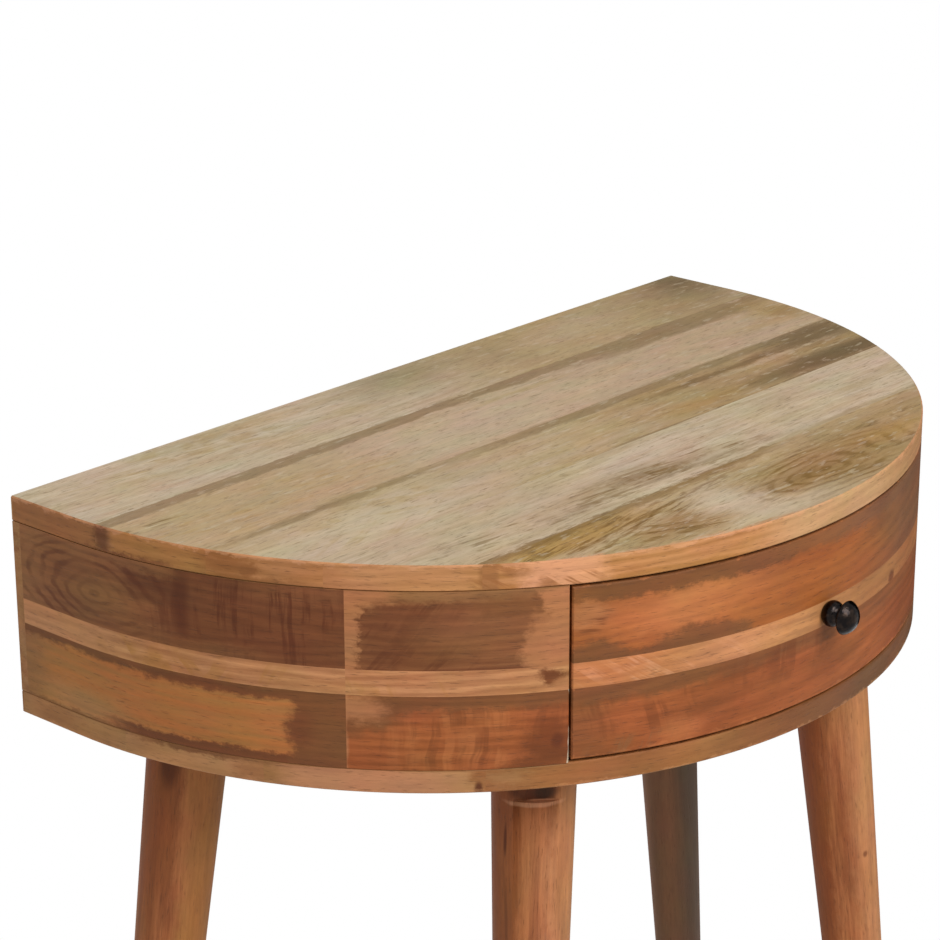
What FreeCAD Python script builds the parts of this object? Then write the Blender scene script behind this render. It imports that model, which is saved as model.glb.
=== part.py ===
import FreeCAD, Part
import Sketcher
import math
import os
import re

# Half-moon side table: five-board top, brick-laid curved apron, one drawer, four splayed turned legs.
# Millimetres. X runs left to right, the drawer faces -Y, Z is up and the feet stand on Z = 0.

SIZES = {
    "width": 600,
    "straight": 50,
    "height": 750,
    "top_thick": 15,
    "base_thick": 14,
    "lower_high": 43.5,
    "strip_high": 15,
    "upper_high": 45.5,
    "wall": 20,
    "back_thick": 6,
    "joint_angle": 57,
    "opening_angle": 33.8,
    "drawer_gap": 1.5,
    "arris": 0.8,
    "top_ratio_1": 0.2,
    "top_ratio_2": 0.409,
    "top_ratio_3": 0.583,
    "top_ratio_4": 0.771,
    "base_ratio_1": 0.246,
    "base_ratio_2": 0.491,
    "base_ratio_3": 0.774,
    "leg_head_dia": 49.5,
    "leg_foot_dia": 22,
    "leg_rim": 1.5,
    "front_leg_inset": 55.6,
    "front_leg_angle": 34.7,
    "front_splay": 6.85,
    "front_heading": 34.5,
    "back_leg_inset": 82.4,
    "back_leg_in": 54.5,
    "back_splay": 8.04,
    "back_heading": 12.3,
    "bolt_dia": 8,
    "bolt_in_leg": 45,
    "bolt_below": 2,
    "nut_flange_dia": 22,
    "nut_flange_thick": 1.6,
    "nut_barrel_dia": 10,
    "nut_barrel_long": 10,
    "box_clear": 13.75,
    "side_thick": 12,
    "side_high": 78,
    "side_play": 1,
    "run_play": 0.3,
    "rear_thick": 12,
    "rear_drop": 6,
    "floor_thick": 5,
    "floor_up": 8,
    "groove_deep": 5,
    "runner_seat": 6,
    "runner_high": 30,
    "runner_clear": 17,
    "runner_lap": 21,
    "runner_guard": 18,
    "kicker_play": 1.2,
    "stop_long": 12,
    "knob_dia": 20.4,
    "knob_stand": 20,
    "knob_dome": 7,
    "knob_rim_round": 0.8,
    "knob_collar_dia": 12.4,
    "knob_collar_long": 7.5,
    "knob_collar_round": 5.2,
    "knob_groove_dia": 10.4,
    "knob_groove_out": 9,
    "knob_hole_deep": 12,
    "screw_dia": 4,
    "screw_head_dia": 7.5,
    "screw_head_high": 2.4,
    "screw_point": 4,
    "head_recess": 3,
    "base_screw_long": 32,
    "back_screw_long": 24,
    "runner_screw_long": 36,
    "kicker_screw_long": 24,
    "rear_screw_in": 34,
    "front_screw_in": 47,
    "side_screw_in": 40,
    "fit": 0.1,
}

doc = FreeCAD.newDocument("half_moon_table")
sheet = doc.addObject("Spreadsheet::Sheet", "Sizes")
for row, (alias, size) in enumerate(SIZES.items(), 1):
    sheet.set(f"A{row}", alias)
    sheet.set(f"B{row}", str(size))
    sheet.setAlias(f"B{row}", alias)
doc.recompute()

# Heights and depths that several pieces share, written from the sizes.
RADIUS = "(width / 2)"
INNER = "(width / 2 - wall)"
DEPTH = "(straight + width / 2)"
BACK = f"(({DEPTH} + knob_stand) / 2)"
MID = f"({BACK} - straight)"
FRONT = f"({BACK} - {DEPTH})"
TOP_UNDER = "(height - top_thick)"
STRIP_Z = f"({TOP_UNDER} - upper_high - strip_high)"
UPPER_Z = f"({TOP_UNDER} - upper_high)"
BASE_TOP = f"({STRIP_Z} - lower_high)"
SEAT = f"({BASE_TOP} - base_thick)"
INSIDE = f"({BACK} - back_thick)"
BOX_Z = f"({BASE_TOP} + runner_seat + run_play)"
BOX_REAR = f"({INSIDE} - stop_long - run_play)"
BOX_HALF = f"({INNER} * sin(opening_angle) - box_clear)"
BOX_INNER = f"({BOX_HALF} - side_thick)"
FLOOR_Z = f"({BOX_Z} + floor_up)"
GUIDE_X = f"({BOX_HALF} + side_play)"
LAP_X = f"({GUIDE_X} - runner_lap)"
GUARD_X = f"({GUIDE_X} + runner_guard)"
KICKER_Z = f"({BOX_Z} + side_high + kicker_play)"
SCREW_X = f"({GUIDE_X} + runner_guard / 2)"
WALL_MID = "(width / 2 - wall / 2)"
GAP_ANGLE = "(drawer_gap / (width / 2) * 180 / pi)"
NUT_Z = f"({BASE_TOP} - nut_flange_thick)"
LOWER_MID = "(lower_high / 2)"
UPPER_MID = "(upper_high / 2)"
FRONT_ANGLE = f"(opening_angle - {GAP_ANGLE})"
FRONT_Z = f"({BASE_TOP} + drawer_gap)"
PANEL_HALF = f"({BOX_INNER} + groove_deep)"
OVERRUN = "(leg_head_dia / 4)"
FULL_TURN = 360
UPRIGHT = FreeCAD.Rotation(FreeCAD.Vector(0, 0, 1), 0)
UPSIDE_DOWN = FreeCAD.Rotation(FreeCAD.Vector(1, 0, 0), 180)
POINT_FORWARD = FreeCAD.Rotation(FreeCAD.Vector(1, 0, 0), 90)


def bound(text):
    """The expression text with each size's name led to its cell."""
    return re.sub(r"[a-z]\w*", lambda word: f"Sizes.{word[0]}" if word[0] in SIZES else word[0], text)


def value(text):
    """The number that an expression of sizes stands for."""
    return float(sheet.evalExpression(bound(text)))


def new_body(label, x="0", y="0", z="0", rotation=None):
    """An empty body at a place given by expressions."""
    host = doc.addObject("PartDesign::Body", label)
    host.Label = label
    if rotation:
        host.Placement = FreeCAD.Placement(FreeCAD.Vector(), rotation)
    for axis, text in zip("xyz", (x, y, z)):
        host.setExpression(f"Placement.Base.{axis}", bound(text))
    return host


def new_sketch(host, plane, height="0"):
    """A sketch on one of the body's own planes, raised along its normal."""
    sketch = host.newObject("Sketcher::SketchObject", f"{host.Name}_sketch")
    support = next(f for f in host.Origin.OriginFeatures if f.Role == plane)
    sketch.AttachmentSupport = [(support, "")]
    sketch.MapMode = "FlatFace"
    sketch.setExpression("AttachmentOffset.Base.z", bound(height))
    return sketch


def bind(sketch, kind, *where, size):
    """A dimension of the sketch that follows an expression."""
    index = sketch.addConstraint(Sketcher.Constraint(kind, *where, value(size)))
    sketch.setExpression(f"Constraints[{index}]", bound(size))


def arc_between(start, end, radius, sense):
    """The short arc from start to end, anticlockwise for sense 1 and clockwise for sense -1."""
    chord = end - start
    rise = math.sqrt(max(radius ** 2 - (chord.Length / 2) ** 2, 0))
    normal = FreeCAD.Vector(-chord.y, chord.x, 0).normalize()
    centre = (start + end) / 2 + normal * rise * sense
    first, last = (start, end) if sense > 0 else (end, start)
    angles = [math.atan2(p.y - centre.y, p.x - centre.x) for p in (first, last)]
    if angles[1] < angles[0]:
        angles[1] += 2 * math.pi
    return Part.ArcOfCircle(Part.Circle(centre, FreeCAD.Vector(0, 0, 1), radius), *angles)


def outline(sketch, corners, arcs=None):
    """A closed outline through corners; arcs gives the radius and sense of sides by their first corner."""
    arcs = arcs or {}
    points = [FreeCAD.Vector(value(x), value(y), 0) for x, y in corners]
    ends = []
    for index, start in enumerate(points):
        end = points[(index + 1) % len(points)]
        radius, sense = arcs.get(index, (None, 1))
        if radius:
            side = sketch.addGeometry(arc_between(start, end, value(radius), sense))
            bind(sketch, "Radius", side, size=radius)
        else:
            side = sketch.addGeometry(Part.LineSegment(start, end))
        ends.append((side, 1, 2) if sense > 0 else (side, 2, 1))
    for index, (side, first, last) in enumerate(ends):
        after, its_first, its_last = ends[(index + 1) % len(ends)]
        sketch.addConstraint(Sketcher.Constraint("Coincident", side, last, after, its_first))
        bind(sketch, "DistanceX", -1, 1, side, first, size=corners[index][0])
        bind(sketch, "DistanceY", -1, 1, side, first, size=corners[index][1])


def pad(host, sketch, length):
    """The sketch raised along its normal."""
    feature = host.newObject("PartDesign::Pad", f"{host.Name}_pad")
    feature.Profile = sketch
    feature.setExpression("Length", bound(length))
    doc.recompute()
    return feature


def pocket(host, sketch, depth=None, inward=True):
    """The sketch cut into the body, to a depth or both ways through all of it."""
    before = host.Shape.Volume
    feature = host.newObject("PartDesign::Pocket", f"{host.Name}_cut")
    feature.Profile = sketch
    if depth:
        feature.setExpression("Length", bound(depth))
        feature.Reversed = not inward
    else:
        feature.Type = "ThroughAll"
        feature.SideType = "Symmetric"
    doc.recompute()
    if not host.Shape.Volume < before:
        raise ValueError(f"{host.Label}: the cut removes nothing")
    return feature


def drill(host, plane, centres, dia, depth=None, height="0", inward=True):
    """Round holes of one diameter at centres on a plane of the body."""
    sketch = new_sketch(host, plane, height)
    for x, y in centres:
        circle = Part.Circle(FreeCAD.Vector(value(x), value(y), 0), FreeCAD.Vector(0, 0, 1), value(dia) / 2)
        hole = sketch.addGeometry(circle)
        bind(sketch, "Diameter", hole, size=dia)
        bind(sketch, "DistanceX", -1, 1, hole, 3, size=x)
        bind(sketch, "DistanceY", -1, 1, hole, 3, size=y)
    doc.recompute()
    return pocket(host, sketch, depth, inward)


def turned(host, corners, arcs=None, leaning=False):
    """A piece turned from a half profile about the upright axis, or about its own closing side."""
    sketch = new_sketch(host, "XZ_Plane")
    outline(sketch, corners, arcs)
    if leaning:
        axis = sketch.addGeometry(Part.LineSegment(FreeCAD.Vector(), FreeCAD.Vector(0, -1, 0)), True)
        sketch.addConstraint(Sketcher.Constraint("Coincident", axis, 1, 0, 1))
        sketch.addConstraint(Sketcher.Constraint("Coincident", axis, 2, len(corners) - 1, 1))
    doc.recompute()
    feature = host.newObject("PartDesign::Revolution", f"{host.Name}_turn")
    feature.Profile = sketch
    feature.ReferenceAxis = (sketch, ["Axis0" if leaning else "V_Axis"])
    feature.Angle = FULL_TURN
    doc.recompute()
    return feature


def prism(label, plane, corners, long, arcs=None, x="0", y="0", z="0"):
    """A piece of one outline, drawn on a plane of the body and raised along its normal."""
    host = new_body(label, x, y, z)
    sketch = new_sketch(host, plane)
    outline(sketch, corners, arcs)
    doc.recompute()
    pad(host, sketch, long)
    return host


def ease(host, pick, size, kind="Chamfer"):
    """A narrow flat or round on the edges that pick chooses by their middle and their direction."""
    names = []
    for number, edge in enumerate(host.Tip.Shape.Edges, 1):
        if edge.Degenerated:
            continue
        middle = edge.valueAt((edge.FirstParameter + edge.LastParameter) / 2)
        upright = abs(edge.tangentAt(edge.FirstParameter).z) > math.sqrt(0.5)
        if pick(middle, upright):
            names.append(f"Edge{number}")
    base = host.Tip
    feature = host.newObject(f"PartDesign::{kind}", f"{host.Name}_ease")
    feature.Base = (base, names)
    feature.setExpression("Size" if kind == "Chamfer" else "Radius", bound(size))
    doc.recompute()
    return feature


def near(a, b):
    """Whether two lengths are the same to a hundredth."""
    return abs(a - b) < 0.01


def on_face(point, radius):
    """Whether a point lies on the half-moon's own outline, drawn with a radius."""
    y = point.y - value(MID)
    return near(abs(point.x), radius) if y > 0 else near(math.hypot(point.x, y), radius)


def along(radius, angle, side):
    """The place on an arc about the middle of the half-moon, by its angle from the front."""
    return f"{side} * {radius} * sin({angle})", f"{MID} - {radius} * cos({angle})"


def arc_y(radius, x):
    """The depth at which an arc about the middle of the half-moon crosses x."""
    return f"{MID} - sqrt({radius}^2 - {x}^2)"


def board(label, z, thick, start, stop, last):
    """A board of the half-moon from one distance off the rear edge to another."""
    def half(distance):
        return f"sqrt({RADIUS}^2 - max({distance} - straight; 0)^2)"
    rounded = value(stop) > value("straight") > value(start)
    left = [(f"-{half(start)}", f"{BACK} - ({start})")]
    right = [(half(start), f"{BACK} - ({start})")]
    if rounded:
        left.append((f"-{RADIUS}", MID))
        right.insert(0, (RADIUS, MID))
    if not last:
        left.append((f"-{half(stop)}", f"{BACK} - ({stop})"))
        right.insert(0, (half(stop), f"{BACK} - ({stop})"))
    arcs = {}
    if value(stop) > value("straight"):
        bend = 1 if rounded else 0
        arcs[bend] = (RADIUS, 1)
        arcs[len(left + right) - 2 - bend] = (RADIUS, 1)
    host = prism(label, "XY_Plane", left + right, thick, arcs, z=z)
    ease(host, lambda p, upright: not upright and on_face(p, value(RADIUS)), "arris")
    return host


def holes_of(start, stop, centres, dia):
    """The hole centres that reach into a board between two distances off the rear edge."""
    reach = value(dia) / 2
    near_end, far_end = value(f"{BACK} - ({start})"), value(f"{BACK} - ({stop})")
    return [(x, y) for x, y in centres if far_end - reach < value(y) < near_end + reach]


def leg(label, x, y, splay, heading):
    """A turned taper leaning outwards, cut level at the base and at the floor, bored for its bolt."""
    slant = f"({SEAT} / cos({splay}))"

    def place(down, out):
        across = f"({down}) * sin({splay}) + ({out}) * cos({splay})"
        up = f"({out}) * sin({splay}) - ({down}) * cos({splay})"
        return across, up

    def girth(down):
        return f"leg_head_dia / 2 - (leg_head_dia - leg_foot_dia) / 2 * ({down}) / {slant}"

    host = new_body(label, x, y, SEAT, UPRIGHT)
    host.setExpression("Placement.Rotation.Angle", bound(heading))
    head, foot = f"-{OVERRUN}", f"{slant} + {OVERRUN}"
    profile = [place(head, "0"), place(head, girth(head)), place(foot, girth(foot)), place(foot, "0")]
    turned(host, profile, leaning=True)
    sketch = new_sketch(host, "XZ_Plane")
    near_x, far_x = "-leg_head_dia", f"{slant} * sin({splay}) + leg_head_dia"
    for low, high in (("0", f"2 * {OVERRUN}"), (f"-{SEAT} - 2 * {OVERRUN}", f"-{SEAT}")):
        outline(sketch, [(near_x, low), (far_x, low), (far_x, high), (near_x, high)])
    doc.recompute()
    pocket(host, sketch)
    ease(host, lambda p, upright: near(p.z, -value(SEAT)), "leg_rim")
    drill(host, "XY_Plane", [("0", "0")], "(bolt_dia + 2 * fit)", "(bolt_in_leg + fit)")
    return host


def screw(label, x, y, z, long, rotation=None):
    """A wood screw with a flat-bottomed round head, its point along the body's own +Z."""
    host = new_body(label, x, y, z, rotation)
    shank, head = "screw_dia / 2", "screw_head_dia / 2"
    turned(host, [("0", "-screw_head_high"), (head, "-screw_head_high"), (head, "0"), (shank, "0"),
                  (shank, f"{long} - screw_point"), ("0", long)])
    return host


def group(label, members):
    """Alike pieces kept as separate solids of one node."""
    node = doc.addObject("Part::Compound", label)
    node.Label = label
    node.Links = members
    return node


SIDES = {"left": -1, "right": 1}
FRONT_LEG_ARC = f"({RADIUS} - front_leg_inset)"
BACK_LEG_X = f"({RADIUS} - back_leg_inset)"
BACK_LEG_Y = f"{BACK} - back_leg_in"
LEGS = {
    "front_left": (*along(FRONT_LEG_ARC, "front_leg_angle", -1), "front_splay", "180 + front_heading"),
    "front_right": (*along(FRONT_LEG_ARC, "front_leg_angle", 1), "front_splay", "-front_heading"),
    "back_left": (f"-{BACK_LEG_X}", BACK_LEG_Y, "back_splay", "180 - back_heading"),
    "back_right": (BACK_LEG_X, BACK_LEG_Y, "back_splay", "back_heading"),
}
LEG_PLACES = [place[:2] for place in LEGS.values()]
FRONT_BLOCK_MID = "((joint_angle + opening_angle) / 2)"
REAR_BLOCK_MID = "((joint_angle + 90) / 2)"
APRON_SCREWS = {
    place: [along(WALL_MID, FRONT_BLOCK_MID, side), along(WALL_MID, REAR_BLOCK_MID, side),
            (f"{side} * {WALL_MID}", f"{BACK} - side_screw_in")]
    for place, side in SIDES.items()
}
RUNNER_LONG = f"({INSIDE} - runner_clear - ({arc_y(INNER, GUARD_X)}))"
RAIL_SCREWS_IN = ("rear_screw_in", f"({RUNNER_LONG} - front_screw_in)")
RUNNER_SCREWS = [(f"{side} * {SCREW_X}", f"{INSIDE} - {set_in}")
                 for side in SIDES.values() for set_in in RAIL_SCREWS_IN]
SHANK_HOLE = "(screw_dia + 2 * fit)"
HEAD_HOLE = "(screw_head_dia + 2 * fit)"
nodes = []

# Top: boards parallel to the rear edge, with pilot holes for the kicker screws underneath.
KICKER_PILOT = f"(kicker_screw_long - ({TOP_UNDER} - {KICKER_Z} - head_recess) + fit)"
TOP_RATIOS = ("top_ratio_1", "top_ratio_2", "top_ratio_3", "top_ratio_4")
top_lines = ["0", *(f"({ratio} * {DEPTH})" for ratio in TOP_RATIOS), DEPTH]
for number, (start, stop) in enumerate(zip(top_lines, top_lines[1:]), 1):
    node = board(f"top_board_{number}", TOP_UNDER, "top_thick", start, stop, stop == DEPTH)
    pilots = holes_of(start, stop, RUNNER_SCREWS, SHANK_HOLE)
    if pilots:
        drill(node, "XY_Plane", pilots, SHANK_HOLE, KICKER_PILOT, inward=False)
    nodes.append(node)

# Base: boards with seats for the tee nuts, counterbored screw holes and pilots for the runner screws.
RUNNER_PILOT = "(runner_screw_long - (runner_high - head_recess) + fit)"
BASE_RATIOS = ("base_ratio_1", "base_ratio_2", "base_ratio_3")
base_lines = ["0", *(f"({ratio} * {DEPTH})" for ratio in BASE_RATIOS), DEPTH]
for number, (start, stop) in enumerate(zip(base_lines, base_lines[1:]), 1):
    node = board(f"base_board_{number}", SEAT, "base_thick", start, stop, stop == DEPTH)
    flanges = holes_of(start, stop, LEG_PLACES, "nut_flange_dia")
    if flanges:
        drill(node, "XY_Plane", flanges, "(nut_flange_dia + 2 * fit)", "nut_flange_thick", "base_thick")
    barrels = holes_of(start, stop, LEG_PLACES, "nut_barrel_dia")
    if barrels:
        drill(node, "XY_Plane", barrels, "(nut_barrel_dia + 2 * fit)")
    screws = holes_of(start, stop, sum(APRON_SCREWS.values(), []), HEAD_HOLE)
    if screws:
        drill(node, "XY_Plane", screws, SHANK_HOLE)
        drill(node, "XY_Plane", screws, HEAD_HOLE, "head_recess", inward=False)
    pilots = holes_of(start, stop, RUNNER_SCREWS, SHANK_HOLE)
    if pilots:
        drill(node, "XY_Plane", pilots, SHANK_HOLE, RUNNER_PILOT, "base_thick")
    nodes.append(node)

# Apron: three courses of blocks on each side, drilled for the screws that hold the base and the rear panel.
BASE_PILOT = "(base_screw_long - (base_thick - head_recess) + fit)"
BACK_PILOT = "(back_screw_long - (back_thick - head_recess) + fit)"
COURSES = {
    "lower": (BASE_TOP, "lower_high"),
    "strip": (STRIP_Z, "strip_high"),
    "upper": (UPPER_Z, "upper_high"),
}
opening_x = value(f"{RADIUS} * sin(opening_angle)")
for place, side in SIDES.items():
    outer_joint, inner_joint = along(RADIUS, "joint_angle", side), along(INNER, "joint_angle", side)
    outer_end, inner_end = along(RADIUS, "opening_angle", side), along(INNER, "opening_angle", side)
    outer_x, inner_x = f"{side} * {RADIUS}", f"{side} * {INNER}"
    for course, (z, high) in COURSES.items():
        front = prism(f"apron_{place}_front_{course}", "XY_Plane",
                      [outer_joint, outer_end, inner_end, inner_joint], high,
                      {0: (RADIUS, -side), 2: (INNER, side)}, z=z)
        ease(front, lambda p, upright: upright and on_face(p, value(RADIUS)) and near(abs(p.x), opening_x),
             "arris")
        rear = prism(f"apron_{place}_rear_{course}", "XY_Plane",
                     [(outer_x, INSIDE), (outer_x, MID), outer_joint,
                      inner_joint, (inner_x, MID), (inner_x, INSIDE)],
                     high, {1: (RADIUS, -side), 3: (INNER, side)}, z=z)
        if course == "lower":
            for block, centres in ((front, APRON_SCREWS[place][:1]), (rear, APRON_SCREWS[place][1:])):
                drill(block, "XY_Plane", centres, SHANK_HOLE, BASE_PILOT, inward=False)
        if course != "strip":
            drill(rear, "XZ_Plane", [(f"{side} * {WALL_MID}", f"{high} / 2")], SHANK_HOLE, BACK_PILOT,
                  f"-1 * {INSIDE}", inward=False)
        nodes += [front, rear]

# Rear panel: a thin board over the rear ends of the apron, screwed on from behind.
PANEL_SCREWS = [(f"{side} * {WALL_MID}", z) for side in SIDES.values()
                for z in (LOWER_MID, f"({UPPER_Z} - {BASE_TOP} + {UPPER_MID})")]
back_panel = prism("back_panel", "XY_Plane",
                   [(f"-{RADIUS}", "-back_thick"), (RADIUS, "-back_thick"),
                    (RADIUS, "0"), (f"-{RADIUS}", "0")],
                   f"({TOP_UNDER} - {BASE_TOP})", y=BACK, z=BASE_TOP)
drill(back_panel, "XZ_Plane", PANEL_SCREWS, SHANK_HOLE)
drill(back_panel, "XZ_Plane", PANEL_SCREWS, HEAD_HOLE, "head_recess", inward=False)
nodes.append(back_panel)

# Legs, each with a hanger bolt and a tee nut let in flush from above.
BOLT_LONG = "(bolt_in_leg + base_thick - bolt_below)"
bolts, nuts = [], []
for place, (x, y, splay, heading) in LEGS.items():
    nodes.append(leg(f"leg_{place}", x, y, splay, heading))
for x, y in LEG_PLACES:
    bolt = new_body("hanger_bolt", x, y, f"{SEAT} - bolt_in_leg")
    turned(bolt, [("0", "0"), ("bolt_dia / 2", "screw_point"),
                  ("bolt_dia / 2", BOLT_LONG), ("0", BOLT_LONG)])
    bolts.append(bolt)
    nut = new_body("tee_nut", x, y, NUT_Z)
    bore, barrel, flange = "(bolt_dia / 2 + fit)", "nut_barrel_dia / 2", "nut_flange_dia / 2"
    turned(nut, [(bore, "-nut_barrel_long"), (barrel, "-nut_barrel_long"), (barrel, "0"), (flange, "0"),
                 (flange, "nut_flange_thick"), (bore, "nut_flange_thick")])
    nuts.append(nut)

# Runners with a rebate for the drawer sides, kickers above them, and a stop at the rear of each runner.
KICKER_HIGH = f"({TOP_UNDER} - {KICKER_Z})"
for place, side in SIDES.items():
    lap, guide, guard = (f"{side} * {x}" for x in (LAP_X, GUIDE_X, GUARD_X))
    runner = prism(f"drawer_runner_{place}", "XZ_Plane",
                   [(lap, "0"), (guard, "0"), (guard, "runner_high"), (guide, "runner_high"),
                    (guide, "runner_seat"), (lap, "runner_seat")], RUNNER_LONG, y=INSIDE, z=BASE_TOP)
    kicker = prism(f"drawer_kicker_{place}", "XZ_Plane",
                   [(lap, "0"), (guard, "0"), (guard, KICKER_HIGH), (lap, KICKER_HIGH)], RUNNER_LONG,
                   y=INSIDE, z=KICKER_Z)
    stop = prism(f"drawer_stop_{place}", "XZ_Plane",
                 [(lap, "runner_seat"), (guide, "runner_seat"),
                  (guide, "runner_high"), (lap, "runner_high")], "stop_long", y=INSIDE, z=BASE_TOP)
    centres = [(f"{side} * {SCREW_X}", f"-{set_in}") for set_in in RAIL_SCREWS_IN]
    for rail, height, from_above in ((runner, "runner_high", True), (kicker, "0", False)):
        drill(rail, "XY_Plane", centres, SHANK_HOLE)
        drill(rail, "XY_Plane", centres, HEAD_HOLE, "head_recess", height, from_above)
    nodes += [runner, kicker, stop]

# Drawer front: the three courses carried across the opening with a thin gap all round, the lower one
# grooved for the bottom panel and the strip bored for the knob's screw.
FRONT_COURSES = {
    "lower": (FRONT_Z, "(lower_high - drawer_gap)"),
    "strip": (STRIP_Z, "strip_high"),
    "upper": (UPPER_Z, "(upper_high - drawer_gap)"),
}
front_ends = [along(radius, FRONT_ANGLE, side) for radius, side in
              ((RADIUS, -1), (RADIUS, 1), (INNER, 1), (INNER, -1))]
fronts = {}
for course, (z, high) in FRONT_COURSES.items():
    fronts[course] = prism(f"drawer_front_{course}", "XY_Plane", front_ends, high,
                           {0: (RADIUS, 1), 2: (INNER, -1)}, z=z)
    rim = {"lower": 0, "upper": value(high)}.get(course, -1)
    ease(fronts[course], lambda p, upright: on_face(p, value(RADIUS)) and (upright or near(p.z, rim)),
         "arris")
    nodes.append(fronts[course])
GROOVE = f"({INNER} + groove_deep)"
GROOVE_HIGH = "(floor_thick + 2 * fit)"
GROOVE_MOUTH = f"{arc_y(INNER, PANEL_HALF)} + groove_deep"
sketch = new_sketch(fronts["lower"], "XY_Plane", f"{FLOOR_Z} - {FRONT_Z} + {GROOVE_HIGH}")
outline(sketch, [(f"-{PANEL_HALF}", arc_y(GROOVE, PANEL_HALF)), (PANEL_HALF, arc_y(GROOVE, PANEL_HALF)),
                 (PANEL_HALF, GROOVE_MOUTH), (f"-{PANEL_HALF}", GROOVE_MOUTH)], {0: (GROOVE, 1)})
doc.recompute()
pocket(fronts["lower"], sketch, GROOVE_HIGH)
drill(fronts["strip"], "XZ_Plane", [("0", "strip_high / 2")], SHANK_HOLE)

# Drawer box: sides coped to the inside of the front, a rear and a bottom panel held in grooves.
COPE = f"({INNER} - fit)"
for place, side in SIDES.items():
    inner_x, outer_x = f"{side} * {BOX_INNER}", f"{side} * {BOX_HALF}"
    panel_side = prism(f"drawer_side_{place}", "XY_Plane",
                       [(inner_x, BOX_REAR), (outer_x, BOX_REAR), (outer_x, arc_y(COPE, BOX_HALF)),
                        (inner_x, arc_y(COPE, BOX_INNER))], "side_high", {2: (COPE, -side)}, z=BOX_Z)
    sketch = new_sketch(panel_side, "XZ_Plane")
    mouth, end = f"{side} * ({BOX_INNER} - groove_deep)", f"{side} * {PANEL_HALF}"
    top = f"floor_up + {GROOVE_HIGH}"
    outline(sketch, [(mouth, "floor_up"), (end, "floor_up"), (end, top), (mouth, top)])
    doc.recompute()
    pocket(panel_side, sketch)
    nodes.append(panel_side)
FLOOR_HALF, FLOOR_ARC = f"({PANEL_HALF} - fit)", f"({GROOVE} - fit)"
floor_front = arc_y(FLOOR_ARC, FLOOR_HALF)
nodes.append(prism("drawer_bottom", "XY_Plane",
                   [(f"-{FLOOR_HALF}", floor_front), (FLOOR_HALF, floor_front), (FLOOR_HALF, BOX_REAR),
                    (f"-{FLOOR_HALF}", BOX_REAR)], "floor_thick", {0: (FLOOR_ARC, 1)},
                   z=f"{FLOOR_Z} + fit"))
REAR_HALF = f"({BOX_INNER} - fit)"
rear_front = f"{BOX_REAR} - rear_thick"
nodes.append(prism("drawer_rear", "XY_Plane",
                   [(f"-{REAR_HALF}", rear_front), (REAR_HALF, rear_front), (REAR_HALF, BOX_REAR),
                    (f"-{REAR_HALF}", BOX_REAR)], f"(side_high - rear_drop - floor_up - {GROOVE_HIGH})",
                   z=f"{FLOOR_Z} + {GROOVE_HIGH}"))

# Knob: a swelling collar and a domed head with a groove between them, turned in one piece and bored for
# the screw that comes through the strip.
KNOB_Z = f"({STRIP_Z} + strip_high / 2)"
COLLAR, GROOVE, HEAD = "(knob_collar_dia / 2)", "(knob_groove_dia / 2)", "(knob_dia / 2)"
HEAD_RIM = "(knob_stand - knob_dome)"
DOME = f"(({HEAD}^2 + knob_dome^2) / (2 * knob_dome))"
knob = new_body("knob", y=FRONT, z=KNOB_Z, rotation=POINT_FORWARD)
turned(knob, [("0", "0"), (COLLAR, "0"), (COLLAR, "knob_collar_long"), (GROOVE, "knob_groove_out"),
              (HEAD, HEAD_RIM), ("0", "knob_stand")], {1: ("knob_collar_round", 1), 4: (DOME, 1)})
ease(knob, lambda p, upright: near(p.z, value(HEAD_RIM)), "knob_rim_round", "Fillet")
drill(knob, "XY_Plane", [("0", "0")], SHANK_HOLE, "knob_hole_deep", inward=False)
knob_screw = screw("knob_screw", "0", f"{FRONT} + wall + fit", KNOB_Z,
                   "(wall + knob_hole_deep - screw_point / 2)", POINT_FORWARD)
nodes += [knob, knob_screw]

# Fixings, each kind as one node.
base_screws = [screw("base_screw", x, y, f"{SEAT} + head_recess", "base_screw_long")
               for centres in APRON_SCREWS.values() for x, y in centres]
back_screws = [screw("back_screw", x, f"{BACK} - head_recess", f"{BASE_TOP} + {z}", "back_screw_long",
                     POINT_FORWARD) for x, z in PANEL_SCREWS]
runner_screws = [screw("runner_screw", x, y, f"{BASE_TOP} + runner_high - head_recess",
                       "runner_screw_long", UPSIDE_DOWN) for x, y in RUNNER_SCREWS]
kicker_screws = [screw("kicker_screw", x, y, f"{KICKER_Z} + head_recess", "kicker_screw_long")
                 for x, y in RUNNER_SCREWS]
fixings = {"hanger_bolts": bolts, "tee_nuts": nuts, "base_screws": base_screws, "back_screws": back_screws,
           "runner_screws": runner_screws, "kicker_screws": kicker_screws}
nodes += [group(label, members) for label, members in fixings.items()]

doc.recompute()
for thing in doc.Objects:
    if {"Invalid", "Error"} & set(thing.State):
        raise ValueError(f"{thing.Label} did not build")
for node in nodes:
    if node.Shape.isNull() or not node.Shape.isValid():
        raise ValueError(f"{node.Label} has no sound shape")
os.makedirs("parts", exist_ok=True)
for node in nodes:
    node.Shape.exportStep(f"parts/{node.Label}.step")
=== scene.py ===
"""Dresses the half-moon side table: solid wood with figured blocks, turned legs, a dark bronze knob."""

import math
from dataclasses import dataclass

import bmesh
import bpy
from bpy.props import FloatProperty, FloatVectorProperty, IntProperty, PointerProperty
from mathutils import Matrix, Vector


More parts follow.
